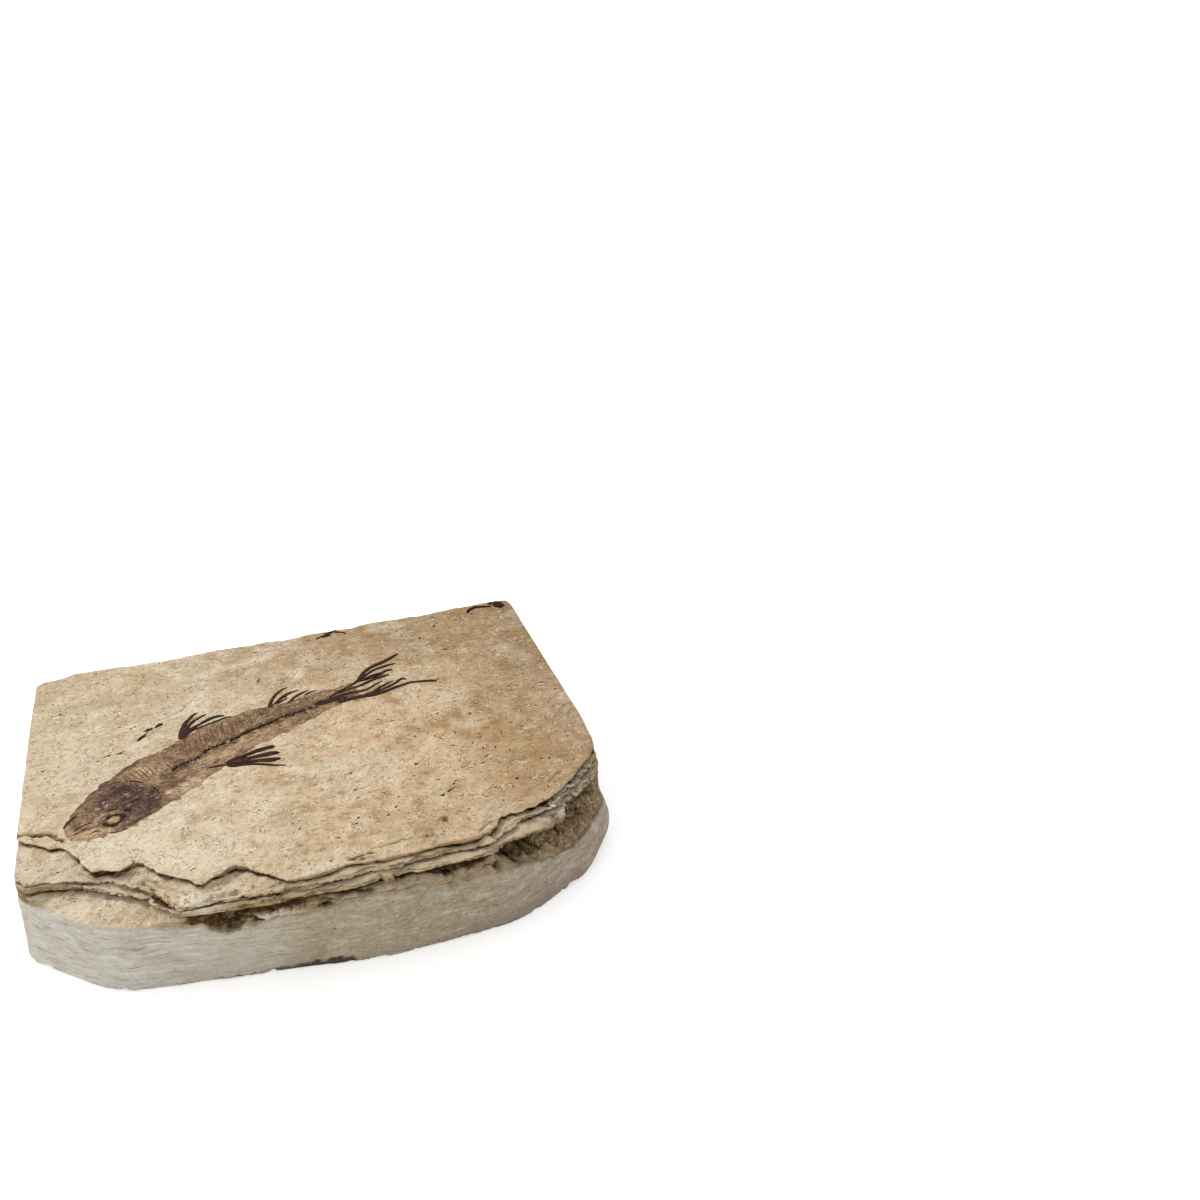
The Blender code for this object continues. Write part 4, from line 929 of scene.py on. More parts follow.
def fossil_film():
    """Carbonised skin and scale film pressed on the bedding plane: tan where it is thin, through orange
    brown to dark purple brown over the skull, so the eye reads a flattened fish. Its rim takes the
    rock's own colour, so it has no hard border."""
    material, tree, shader, place = begin("fossil_skin_film")
    rock = split_rock(tree, place)[0]
    ragged = unsettled(tree, place, 1.2, 0.8)
    web = node(tree, "TexVoronoi", {"feature": "DISTANCE_TO_EDGE", "Scale": 1 / 0.9}, Vector=ragged)
    streak = cloud(tree, ragged, 1, 4.0, 0.65, (2.2, 0.5, 1.0), 34)
    blotch = cloud(tree, place, 1.5, 5.0, 0.7)
    small = cloud(tree, ragged, 0.6, 4.0, 0.7)
    value = attribute(tree, "stain")
    for pattern, low, least, most in ((streak, 0.36, 0.1, -0.12), (blotch, 0.34, 0.19, -0.21),
                                      (small, 0.34, 0.12, -0.12)):
        value = maths(tree, "ADD", value, ranged(tree, pattern, low, 0.66, least, most, soft=False))
    value = maths(tree, "ADD", value, ranged(tree, web.outputs["Distance"], 0.0, 0.16, 0.16, -0.03))
    colour = ramp(tree, value, [(0.0, "#BBA788"), (0.16, "#A89173"), (0.34, "#917A5D"), (0.5, "#7E664C"),
                                (0.66, "#6A533F"), (0.82, "#554239"), (1.0, "#3A2B28")])
    orange = ranged(tree, streak, 0.3, 0.6, 0.45, 0.05)
    colour = over(tree, colour, "#805834", attribute(tree, "ochre"), orange)
    colour = over(tree, colour, "#B5A391", specks(tree, place, 1.2, 1.6, 20, 0.34, 0.45))
    colour = over(tree, colour, "#22150C", specks(tree, place, 1.0, 1.8, 40, 0.32, 0.5), 0.75)
    fringe = ranged(tree, cloud(tree, place, 2.2, 4.0, 0.65), 0.34, 0.66, 0.45, -0.45, soft=False)
    cover = maths(tree, "ADD", attribute(tree, "cover"), fringe)
    colour = over(tree, rock, colour, ranged(tree, cover, 0.15, 0.7))
    relief = node(tree, "Bump", {"Strength": 0.6, "Distance": 0.1 * MM}, Height=streak)
    return surface(material, shader, colour, relief, 0.85, 0.08)


def fossil_bone(name, deep, pale):
    """Mineralised bone and fin rays: dark purple brown with lighter worn flecks, so that the rays read as
    thin raised strips with a faint sheen."""
    material, tree, shader, place = begin(name)
    worn = cloud(tree, place, 0.8, 5.0, 0.7)
    colour = veined(tree, deep, worn, [(pale, 0.5, 0.74, 0.8)])
    rock = split_rock(tree, place)[0]
    colour = over(tree, colour, rock, ranged(tree, attribute(tree, "cover"), 0.1, 0.5, 0.6, 0.0))
    relief = node(tree, "Bump", {"Strength": 0.6, "Distance": 0.08 * MM}, Height=worn)
    return surface(material, shader, colour, relief, 0.7, 0.1)


# Stains in the split faces: x, y, half width, half depth, turn in degrees, amount
PALE_PATCHES = [
    (-36, -22.5, 9, 5, -10, 0.85), (-25, -29, 9, 5, -35, 0.6), (-27, -17, 7, 6, 0, 0.45),
    (-14, -24, 9, 10, 0, 0.35), (1, 28, 3, 2.5, 0, 0.7), (-23.5, 22.5, 6, 2.2, 55, 0.8),
    (-31, 15, 7, 3, 35, 0.5), (-8, 38, 9, 2, 20, 0.6), (-2, -40.5, 6, 1.5, 0, 0.5),
    (-9, 1.5, 5, 3, 25, 0.3), (-40, -34, 2.5, 2.5, 0, 0.4), (-46, 4, 6, 12, 0, 0.2),
    (4, 34.5, 3, 4, 0, 0.35), (8, -18, 8, 12, 0, 0.2),
]
OCHRE_PATCHES = [
    (40, -13, 9, 6, -20, 0.75), (41, -20, 6, 5, 0, 0.65), (36, -30, 9, 7, 40, 0.3),
    (22, -34, 14, 6, 5, 0.35), (27, -4, 2.6, 2.2, 0, 1), (34, -9, 5, 2.2, -15, 0.7),
    (13.5, 37.5, 2.6, 1.3, -15, 1), (12.8, 34.5, 1.8, 1.6, -40, 0.9), (38, 30, 11, 7, 20, 0.4),
    (45, 38, 7, 5, 0, 0.45), (26, 16, 6, 4, 0, 0.35), (20, 13, 8, 1.2, 8, 0.6), (-35, 26, 9, 9, 0, 0.15),
    (-33, 33, 6, 5, 0, 0.2), (-9, 25, 3, 2, 0, 0.3), (10, -30, 4, 2, -30, 0.4), (-8, -24, 3, 3, 0, 0.3),
    (14, 44, 4, 1.5, 30, 0.5), (4, 43.5, 3, 1.2, 0, 0.5), (-4, -27, 2.5, 2, 30, 0.35),
    (43, 5, 7, 6, 0, 0.3), (49, -27, 4, 4, 40, 0.1),
]
SHELF_OCHRE = [
    (-33, -36.5, 8.5, 3.4, -38, 0.3), (-27, -41.5, 3, 1.5, -30, 0.25), (-40, -31, 3, 2, -30, 0.15),
]
DAMP_FOOT = [         # how high the foot of the front is stained dark, by X
    (-34, -0.5), (-28, 0.3), (-18, 0.6), (-10, 0.9), (-3, 1.5), (0.5, 1.3), (2, -0.5),
]


def patches(x, y, table, warp=0.35):
    """Share of soft-edged patches at each place."""
    uneven = grain(stacked(x, y, 0), 4.5, 4, 91) * warp
    share = np.zeros(np.shape(x))
    for middle_x, middle_y, half_width, half_depth, turn, amount in table:
        c, s = math.cos(math.radians(turn)), math.sin(math.radians(turn))
        along, across = (x - middle_x) * c + (y - middle_y) * s, (y - middle_y) * c - (x - middle_x) * s
        far = np.hypot(along / half_width, across / half_depth)
        soft = np.clip(1.3 - far + uneven, 0, 1)
        share = np.maximum(share, soft * soft * (3 - 2 * soft) * amount)
    return share


def paint_stone(bm):
    """Writes the stains into the stone's vertices, with painted highlight on the lit bulge and chunk of the
    broken front and painted light on the shaded shelf.
    """
    names = ("pale", "ochre", "stain", "steep", "ledge", "fibre", "grey", "dusty")
    layers = [bm.verts.layers.float.new(name) for name in names]
    sawn = bm.verts.layers.float["sawn"]
    points = np.array([v.co[:] for v in bm.verts]) / MM
    x, y, z = points.T
    bm.normal_update()
    level = np.array([v.normal.z for v in bm.verts])
    broken = 1 - np.array([v[sawn] for v in bm.verts])
    top = between(z, 18.9, 19.3)
    front = between(y, -20, -35)
    shelf = between(z, 17.2, 16.7) * between(z, 12, 13)
    # painted highlight: the bulge and the chunk of the broken front, made paler as if lit
    bulge = np.clip(1.4 - np.hypot((x + 12.5) / 5.5, (z - 13.4) / 1.7), 0, 1)
    chunk = np.clip(1.4 - np.hypot((x + 23.0) / 4.5, (z - 17.2) / 1.6), 0, 1)
    painted_highlight = np.maximum(bulge, chunk) * front
    # painted light on the left shelf, which lies in the shade of the sheets above
    painted_shelf_light = shelf * np.clip((-26 - x) / 5, 0, 0.7) * front
    pale = np.maximum(np.maximum(patches(x, y, PALE_PATCHES) * top, painted_highlight), painted_shelf_light)
    ochre = np.maximum(patches(x, y, OCHRE_PATCHES) * top, patches(x, y, SHELF_OCHRE) * shelf)
    damp = at(DAMP_FOOT, x) - z + grain(points, (2.0, 2.0, 0.8), 3, 93) * 0.7
    stain = between(damp, 0, 0.35) * (z > 0.1) * front
    steep = between(level, 0.8, 0.3) * between(z, 10, 12) * broken * (1 - 0.85 * painted_highlight)
    ledge = between(z, 19.35, 18.95) * between(z, 16, 16.6) * between(level, 0.93, 0.68)
    ledge = ledge * broken * (1 - painted_highlight)
    fibre = between(x, 37, 41) * between(z, 19.7, 19.4) * between(z, 17, 17.3) * front
    grey = between(x, -34, -39) * between(z, 19.5, 19.3) * between(z, 17, 17.4) * front
    dusty = between(x, -8, -2) * between(z, 19.2, 18.8) * between(z, 9, 10) * front * broken
    for v, *values in zip(bm.verts, pale, ochre, stain, steep, ledge, fibre, grey, dusty):
        for layer, value in zip(layers, values):
            v[layer] = value


def finish_piece(bm, name, material, sharp=35):
    """Turns a finished mesh into a piece of the slab."""
    mesh = bpy.data.meshes.new(name)
    bm.to_mesh(mesh)
    bm.free()
    mesh.shade_smooth()
    mesh.set_sharp_from_angle(angle=math.radians(sharp))
    mesh.materials.append(material)
    piece = bpy.data.objects.new(name, mesh)
    bpy.context.scene.collection.objects.link(piece)
    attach(piece, "root")
    return piece


# The fish and the scraps of bone. They lie on the stone's split face, found by looking straight down.

FILM_STEP = 0.42      # the grid of the film
FILM_UNDER = 0.3      # how far its underside lies in the stone
FLECK_COUNT = 330
RIB_COUNT = 30
RIB_STEP = 0.52
BODY_STATIONS = [     # the fish from snout to tail: edge along its back, edge along its belly
    ((-45.6, -16.6), (-46.2, -13.4)), ((-43.2, -18.5), (-45, -8.8)), ((-38.5, -18.2), (-42.5, -4)),
    ((-34, -16.9), (-39, 0.6)), ((-30.5, -14.9), (-35.5, 3.8)), ((-27.3, -12.4), (-32, 6.4)),
    ((-24, -10.2), (-28.3, 7.6)), ((-20.5, -7.2), (-25.2, 10)), ((-17.5, -4.5), (-21.5, 13)),
    ((-13, -1), (-16, 14.9)), ((-8, 2), (-11, 16.4)), ((-3, 4.8), (-6, 16.8)), ((2, 7.2), (-0.5, 17.6)),
    ((6, 9.6), (4, 18.9)), ((10, 11), (8.5, 19.3)), ((14.5, 11.9), (12.5, 19.8)),
]
BODY_STAINS = [       # patches painted one over another: x, y, half sizes, turn, darkness
    (-42.5, -13.5, 4.5, 4.5, 0, 0.22), (-36.8, -7.8, 8.6, 6.4, 35, 0.76),
    (-35.3, -4.9, 6.6, 3.9, -12, 0.96), (-31.8, -10.3, 5.4, 4.2, 35, 0.86),
    (-38.6, -12.2, 3.4, 1.5, 25, 0.45), (-37.1, -13.5, 2.6, 2.3, 0, 0.78),
    (-37.3, -13.6, 1.2, 1.1, 0, 0.2), (-33.4, -15.7, 5.6, 0.9, 28, 0.8), (-41.4, -3, 6.4, 1.1, 58, 0.72),
    (-34.6, 4, 4.8, 1, 38, 0.7), (-40.5, -16.4, 3.6, 1.4, 10, 0.3), (-44.6, -12, 1.2, 3, 25, 0.66),
    (-27.4, -8.3, 1, 0.8, 0, 0.05), (-23.5, -7, 4.4, 3.4, 42, 0.22), (-31, 0.2, 4, 3.2, 35, 0.36),
    (-36.5, 1.4, 3.6, 0.8, 42, 0.62), (-28.2, 5.2, 3.4, 1.6, 35, 0.5), (-21, 7.2, 7, 4.6, 32, 0.6),
    (-15.5, 11.5, 5, 2.6, 20, 0.5), (-26.2, -1.8, 3.2, 1.2, 32, 0.72), (-25.8, -5.4, 3.6, 1, 28, 0.7),
    (-24.6, 0.6, 1.6, 2.6, 20, 0.74), (-17, 1.2, 4.2, 2.3, 25, 0.34), (-13.5, 3.6, 3, 1.4, 30, 0.3),
    (-8, 5, 5.5, 1.9, 24, 0.42), (-5, 14, 9, 2.4, 12, 0.62), (-10.5, 8.6, 5, 1, 32, 0.6),
    (1.8, 8.1, 4.8, 1.3, 22, 0.66), (1.5, 10, 3.2, 0.7, 12, 0.5), (1.5, 12.6, 5.5, 1.6, 14, 0.78),
    (7.6, 13.9, 3, 1.7, 10, 0.95), (10.6, 17, 4.2, 0.9, 32, 0.6), (12, 13, 4, 1, 4, 0.75),
    (9, 14.6, 5, 1.4, 10, 0.8),
]
BODY_OCHRE = [(-20.5, 7.4, 6.5, 4, 35, 1), (-15, 10.5, 4.5, 2.4, 25, 0.45), (-28, -4, 3, 2, 0, 0.3)]
TAIL_STATIONS = [
    ((9.5, 11.2), (10.5, 17.2)), ((13, 11.6), (13.8, 18)), ((16.5, 12), (17, 18.6)),
    ((19.5, 12.5), (20, 18)), ((22.5, 13.4), (23, 17)), ((25.5, 13.8), (25.5, 15.6)),
]
TAIL_STAINS = [(14, 12.6, 8, 1.2, 5, 0.55), (15, 15, 6, 1.2, 18, 0.3), (20, 13.6, 6, 0.7, 8, 0.4)]


class Ground:
    """The stone's split face, seen from straight above."""

    def __init__(self, piece):
        self.tree = bvhtree.BVHTree.FromPolygons([v.co[:] for v in piece.data.vertices],
                                                 [p.vertices[:] for p in piece.data.polygons])

    def height(self, x, y):
        """Height of the face in millimetres; beyond its edge, the height of a plain face."""
        hit = self.tree.ray_cast(Vector((x * MM, y * MM, 2 * TOP * MM)), Vector((0, 0, -1)))[0]
        return hit.z / MM if hit is not None and hit.z > (TOP - 1.2) * MM else TOP - 0.4


def smooth_line(points, step=0.4):
    """A smooth line through three or more points, resampled about every step along its x and y."""
    points = np.array(points, float)
    runs = np.maximum(np.linalg.norm(np.diff(points[:, :2], axis=0), axis=1), 1e-6)
    ends = np.concatenate([[0], np.cumsum(runs)])
    slopes = np.gradient(points, ends, axis=0)
    count = max(3, round(ends[-1] / step) + 1)
    where = np.linspace(0, ends[-1], count)
    i = np.clip(np.searchsorted(ends, where, side="right") - 1, 0, len(points) - 2)
    run = (ends[i + 1] - ends[i])[:, None]
    t = (where - ends[i])[:, None] / run
    a, b, da, db = points[i], points[i + 1], slopes[i] * run, slopes[i + 1] * run
    return (a * (2 * t ** 3 - 3 * t ** 2 + 1) + b * (3 * t ** 2 - 2 * t ** 3)
            + da * (t ** 3 - 2 * t ** 2 + t) + db * (t ** 3 - t ** 2))


def film(ground, name, stations, stains, ochres, material, base, thick=0.07):
    """A thin closed film between two edges, with its stain, orange tint and cover kept for its material."""
    rows = smooth_line(np.array(stations, float).reshape(-1, 4), FILM_STEP)
    backs, bellies = rows[:, :2], rows[:, 2:]
    widths = np.linalg.norm(bellies - backs, axis=1)[:, None]
    unit = (bellies - backs) / widths
    backs = backs - unit * (grain(stacked(*backs.T, 0), (2.4, 2.4, 1), 3, 101) * 0.7)[:, None]
    bellies = bellies + unit * (grain(stacked(*bellies.T, 5), (2.4, 2.4, 1), 3, 102) * 0.6)[:, None]
    across = round(float(widths.max()) / FILM_STEP)
    t = np.linspace(0, 1, across + 1)
    x, y = (backs[:, None] * (1 - t[:, None]) + bellies[:, None] * t[:, None]).reshape(-1, 2).T
    from_ends = np.minimum(np.arange(len(rows)), np.arange(len(rows))[::-1])[:, None] * FILM_STEP
    rim = np.minimum(np.minimum(t * widths, (1 - t) * widths), from_ends)
    cover = np.clip(rim, 0, 1).ravel()
    stain = base + grain(stacked(x, y, 3), 3, 3, 103) * 0.06
    for *patch, amount in stains:
        share = patches(x, y, [(*patch, 1.0)], 0.3)
        stain = stain * (1 - share) + amount * share
    belly_line = np.clip(1.2 - np.abs(rim - 0.55) / 0.35, 0, 1) * (t > 0.5)
    stain = stain + belly_line.ravel() * 0.22
    tint = patches(x, y, ochres, 0.3)

    bm = bmesh.new()
    layers = [bm.verts.layers.float.new(key) for key in ("stain", "ochre", "cover")]
    for v, i, j in grid_net(bm, len(rows) - 1, across):
        k = i * (across + 1) + j
        lift = thick * min(1, cover[k] * 1.5) + 0.1 * max(stain[k] - 0.5, 0) - 0.06 * (cover[k] < 0.05)
        v.co = Vector((x[k], y[k], ground.height(x[k], y[k]) + lift)) * MM
        for layer, value in zip(layers, (stain[k], tint[k], cover[k])):
            v[layer] = value
    copied = bmesh.ops.duplicate(bm, geom=bm.faces[:] + bm.verts[:] + bm.edges[:])
    under = [g for g in copied["geom"] if isinstance(g, bmesh.types.BMVert)]
    bmesh.ops.translate(bm, vec=(0, 0, -FILM_UNDER * MM), verts=under)
    bmesh.ops.bridge_loops(bm, edges=[e for e in bm.edges if e.is_boundary])
    bmesh.ops.recalc_face_normals(bm, faces=bm.faces)
    return finish_piece(bm, name, material)


def ridges(ground, name, lines, material, height=0.2, step=0.4, around=8, rough=0.25, wider=1.0):
    """Thin raised strips: each line is a list of x, y, width. Their ends close to a point."""
    bm = bmesh.new()
    cover = bm.verts.layers.float.new("cover")
    for number, line in enumerate(lines):
        path = smooth_line(line, step)
        count = len(path)
        run = np.gradient(path[:, :2], axis=0)
        run /= np.maximum(np.linalg.norm(run, axis=1), 1e-6)[:, None]
        aside = np.stack([-run[:, 1], run[:, 0]], 1)
        ends = np.minimum(np.arange(count), np.arange(count)[::-1]) * step
        closing = np.sqrt(np.clip(ends / 0.5, 0, 1))
        spots = stacked(path[:, 0], path[:, 1], number * 1.7)
        half = np.maximum(path[:, 2] * wider, 0.08) / 2 * closing * (1 + grain(spots, 0.9, 2, 111) * rough)
        worn = np.clip(0.9 + grain(spots, 1.6, 3, 112) * rough * 2.4, 0.25, 1)
        floor = [ground.height(*p[:2]) for p in path]
        net = grid_net(bm, count - 1, around)
        for v, i, j in net:
            turn = 2 * math.pi * (j % around) / around
            side, rise = math.cos(turn) * half[i], math.sin(turn)
            up = (0.06 + height * worn[i] * min(1, path[i, 2] / 0.35)) * max(rise, 0) + 0.15 * min(rise, 0)
            x, y = path[i, :2] + aside[i] * side
            level = ground.height(x, y) if rise >= 0 else floor[i]
            v.co = Vector((x, y, level + up * closing[i])) * MM
            v[cover] = worn[i] if rise > 0.5 else worn[i] * 0.8
        bmesh.ops.remove_doubles(bm, verts=[v for v, *_ in net], dist=0.004 * MM)
    bmesh.ops.recalc_face_normals(bm, faces=bm.faces)
    return finish_piece(bm, name, material)


# Each line is x, y and width, from its root to its tip
PELVIC_FIN = [
    [(-24.5, 9.8, 0.7), (-24.4, 11.5, 1), (-24.2, 13.5, 0.9), (-23, 17, 0.8), (-21.9, 19, 0.6),
     (-20.9, 19.9, 0.3)],
    [(-24.3, 10.2, 0.6), (-23.8, 12.6, 0.9), (-22.9, 14.6, 0.8), (-21.5, 16.6, 0.7), (-20.2, 17.6, 0.5),
     (-19, 18.1, 0.2)],
    [(-24.2, 10, 0.5), (-23, 12.8, 0.6), (-20, 14.9, 0.6), (-17.5, 16.3, 0.7), (-16.3, 16.4, 0.5),
     (-15.3, 16.2, 0.2)],
    [(-24, 10, 0.5), (-22.5, 12.3, 0.5), (-19, 13.8, 0.45), (-17, 14.6, 0.5), (-15.4, 15.1, 0.4),
     (-13.9, 15.2, 0.2)],
    [(-23.4, 11.6, 0.3), (-21.4, 13.8, 0.35), (-19.4, 15.6, 0.35), (-18.2, 16.6, 0.2)],
]
ANAL_FIN = [
    [(-6.2, 15.4, 0.5), (-5.8, 17.3, 0.7), (-5, 19.4, 0.7), (-4, 21, 0.6), (-2.8, 22.2, 0.4),
     (-1.4, 23, 0.2)],
    [(-6, 15.6, 0.4), (-4.6, 17.2, 0.6), (-2.6, 19.4, 0.8), (-1, 20.3, 0.6), (0.9, 20.8, 0.2)],
    [(-2.4, 15.6, 0.2), (-1.6, 16.8, 0.4), (-0.4, 18.1, 0.6), (1.2, 19.1, 0.5), (3, 20, 0.2)],
    [(-4.8, 16, 0.2), (-3.4, 17.4, 0.35), (-1.8, 18.6, 0.2)],
    [(1.6, 18.1, 0.2), (3, 18.8, 0.3), (4.8, 19.1, 0.15)],
]
DORSAL_FIN = [
    [(-16.5, -2.6, 0.5), (-15, -1.7, 0.8), (-12, -0.7, 1), (-9, 0.1, 1.2), (-7.2, 0.4, 1.1),
     (-6.2, 0.4, 0.7)],
    [(-16.4, -2.8, 0.5), (-14.5, -2.3, 0.8), (-10, -2.1, 1.1), (-7.4, -2.1, 1.3), (-5.6, -2.2, 0.7)],
    [(-16.3, -2.9, 0.5), (-14, -2.9, 0.8), (-10, -3.7, 1), (-7.2, -4.3, 1.2), (-5.5, -4.4, 0.6)],
    [(-16.2, -3.1, 0.6), (-15, -3.6, 0.7), (-12, -4.2, 0.6), (-10, -5, 0.5), (-7.4, -6.3, 0.4),
     (-4.7, -7.3, 0.15)],
    [(-20, -2.6, 0.3), (-18, -2.7, 0.6), (-16, -3, 0.6)],
    [(-15.5, -2.4, 0.9), (-13.5, -2.6, 1.3), (-11.5, -2.9, 0.9)],
]
TAIL_FIN = [
    [(12, 18.5, 0.5), (13.5, 20, 0.7), (15, 22.5, 0.8), (17, 24.7, 1), (20, 26, 0.9), (22.4, 27.3, 0.8),
     (24.3, 28.5, 0.4)],
    [(12.6, 19, 0.4), (13.6, 20, 0.6), (16, 22, 0.7), (18, 23.5, 0.7), (20.5, 24.2, 0.7),
     (23, 24.5, 0.25)],
    [(13.4, 19.4, 0.4), (15, 20.2, 0.6), (17.5, 21.1, 0.7), (19, 21.4, 0.6), (21, 22.1, 0.6),
     (21.9, 21.6, 0.3)],
    [(8.6, 16.1, 0.4), (11, 17, 0.6), (13, 17.5, 0.8), (16, 18.9, 0.7), (19, 19.8, 0.7),
     (20.9, 20, 0.25)],
    [(14, 19.5, 0.3), (16.4, 20, 0.45), (18.4, 20.5, 0.4), (20, 20.8, 0.15)],
    [(6, 13.8, 0.9), (9, 15, 1.2), (11, 15.4, 1.1), (13.5, 15.2, 0.8), (15, 15.6, 0.6), (17, 17, 0.6),
     (19, 17.9, 0.25)],
    [(8, 13.4, 1.2), (10, 12.9, 1.1), (13, 13, 0.9), (16, 14, 0.7), (18, 15.5, 0.6), (20, 16.6, 0.6),
     (21.2, 17.1, 0.25)],
    [(15, 13.7, 0.5), (17, 14, 0.7), (19, 14.8, 0.8), (21.5, 16, 0.8), (23, 17.2, 0.6),
     (24.1, 16.5, 0.3)],
    [(8, 12.2, 0.9), (10, 12.7, 1.2), (14, 12.9, 1.3), (17, 13, 1.2), (20, 13.8, 1), (23, 14.6, 0.9),
     (25, 14.9, 0.8), (28, 14.3, 0.8), (29.4, 14, 0.7), (30.3, 13.6, 0.4)],
    [(6.5, 15, 0.7), (9, 16.9, 0.9), (11, 18, 0.8), (12.6, 19, 0.6)],
    [(3.6, 12.9, 0.6), (6, 13.6, 1.4), (8.6, 13.8, 1.6), (10.6, 13.4, 1)],
]
BACKBONE = [
    (-27, -1), (-24, 0.5), (-21, 2.2), (-19.6, 4), (-17, 5), (-14, 6.2), (-12, 7.2), (-9, 8.6), (-6, 9.9),
    (-4, 11), (-1, 11.4), (1, 11.9), (3, 13), (5, 14), (7.4, 14.2),
]
FRONT_RIBS = [
    [(-33.9, 2.4, 0.2), (-32.6, -0.2, 0.25), (-30.9, -2.9, 0.15)],
    [(-33.2, 2.5, 0.2), (-31.6, -0.4, 0.3), (-30.3, -3, 0.15)],
    [(-32.4, 2.6, 0.2), (-31, -0.2, 0.25), (-29.8, -2.9, 0.15)],
    [(-34.8, 1.8, 0.2), (-33.6, -0.4, 0.25), (-32.2, -2, 0.15)],
    [(-31.5, 2.8, 0.2), (-30.4, 0.6, 0.3), (-29.2, -2.2, 0.15)],
    [(-28.9, -0.4, 0.2), (-28.2, -1.8, 0.35), (-27.3, -3.4, 0.15)],
    [(-28, 2.6, 0.2), (-27.2, 1, 0.35), (-26.4, -0.7, 0.15)],
    [(-26.9, 1.8, 0.2), (-26.1, 0.2, 0.35), (-25.4, -0.9, 0.15)],
    [(-35.6, 0.9, 0.2), (-34.6, -0.6, 0.2), (-33.8, -1.6, 0.15)],
    [(-29.4, -4.8, 0.3), (-27.2, -4.6, 0.6), (-25.4, -5.4, 0.4), (-23.4, -5.4, 0.15)],
    [(-28.8, -6.2, 0.3), (-26.6, -6.4, 0.5), (-24.4, -7.4, 0.15)],
    [(-28.2, -3.4, 0.2), (-26.4, -3.3, 0.4), (-24.8, -4, 0.15)],
]
EYE = [
    (-38.5, -13.4, 0.35), (-38.8, -14.3, 0.7), (-38.1, -15.1, 0.5), (-37.3, -15.2, 0.8),
    (-36.4, -15.1, 0.35), (-35.9, -14.2, 0.6), (-35.6, -13.3, 0.8), (-35.9, -12.5, 0.4),
    (-36.7, -12.2, 0.75), (-37.6, -12, 0.4), (-38.3, -12.5, 0.7), (-38.6, -13.2, 0.3),
]
SKULL_LINES = [
    EYE, [(-38.7, -10.6, 0.3), (-37.6, -10.2, 0.6), (-36.4, -10.3, 0.3)],
    [(-36.1, -11, 0.3), (-34.9, -11.2, 0.7), (-34, -12.2, 0.4)],
    [(-46.2, -13.2, 0.2), (-45.6, -12, 0.45), (-44.6, -10.6, 0.4), (-43.8, -9.6, 0.2)],
    [(-38.2, -17.4, 0.15), (-36.6, -17.5, 0.2), (-34.4, -16.8, 0.15)],
    [(-38.6, -1.8, 0.15), (-36.4, -1.1, 0.3), (-33.4, -2, 0.3), (-31.6, -3.4, 0.15)],
    [(-30.4, -4.9, 0.15), (-29.5, -6.6, 0.25), (-28.9, -8.4, 0.15)],
    [(-44.4, -14.8, 0.2), (-42.6, -13.4, 0.3), (-40.8, -12.6, 0.2)],
    [(-44.6, -15.8, 0.2), (-42.2, -14.8, 0.25), (-40.2, -14.4, 0.2)],
    [(-41.6, -16.8, 0.2), (-40.4, -16, 0.3), (-39.2, -16.2, 0.2)],
    [(-35, -9.4, 0.2), (-33.4, -8.8, 0.5), (-31.6, -7.6, 0.2)],
]
FIN_SCRAP = [
    [(7, 42.3, 0.3), (8.6, 43.2, 0.8), (10, 44.3, 1), (11.4, 45.2, 0.6)],
    [(9, 43.6, 0.6), (10.6, 44.2, 0.8), (12.5, 44.2, 0.7), (13.6, 43.6, 0.5), (14.3, 42.3, 0.2)],
    [(10.4, 44.6, 0.5), (11.6, 45, 0.5), (12.6, 45.3, 0.3)],
    [(7.8, 42.9, 0.4), (9.4, 43, 0.6), (11, 43.4, 0.3)],
]
BONE_SCRAP = [
    [(43.8, 41.7, 0.4), (44.2, 42.7, 0.8), (45.2, 43.6, 0.9), (47, 43.9, 0.8), (48.6, 43.4, 0.6),
     (50.2, 43, 0.3)],
    [(49.6, 44.9, 0.6), (51, 44.4, 1.4), (52.6, 43.2, 1.8), (53.4, 42.3, 0.9)],
    [(50.6, 43.4, 0.6), (51.8, 42.8, 1.2), (52.8, 41.8, 0.6)],
    [(51, 45.1, 0.5), (52.4, 44.8, 1), (53.6, 44.2, 0.6)],
]
CLEFTS = [            # deep dark slots between two flakes beside the dorsal side of the fish
    [(-33.3, 12.8, 0.2), (-32.2, 14.2, 0.55), (-31.2, 15.2, 0.3)],
    [(-31.4, 15.4, 0.2), (-30.5, 16.5, 0.5), (-30, 16.8, 0.2)],
    [(-29.6, 16.6, 0.5), (-28.8, 17.5, 1.1), (-28, 18.2, 0.9)],
    [(-37.3, 9.1, 0.2), (-36.4, 9.5, 0.5), (-35.5, 9.9, 0.2)],
    [(-39.7, 8.8, 0.2), (-38.8, 9.2, 0.45), (-38.1, 9.6, 0.2)],
    [(-31.9, 15.8, 0.15), (-31.2, 16.4, 0.4), (-30.7, 16.9, 0.15)],
]
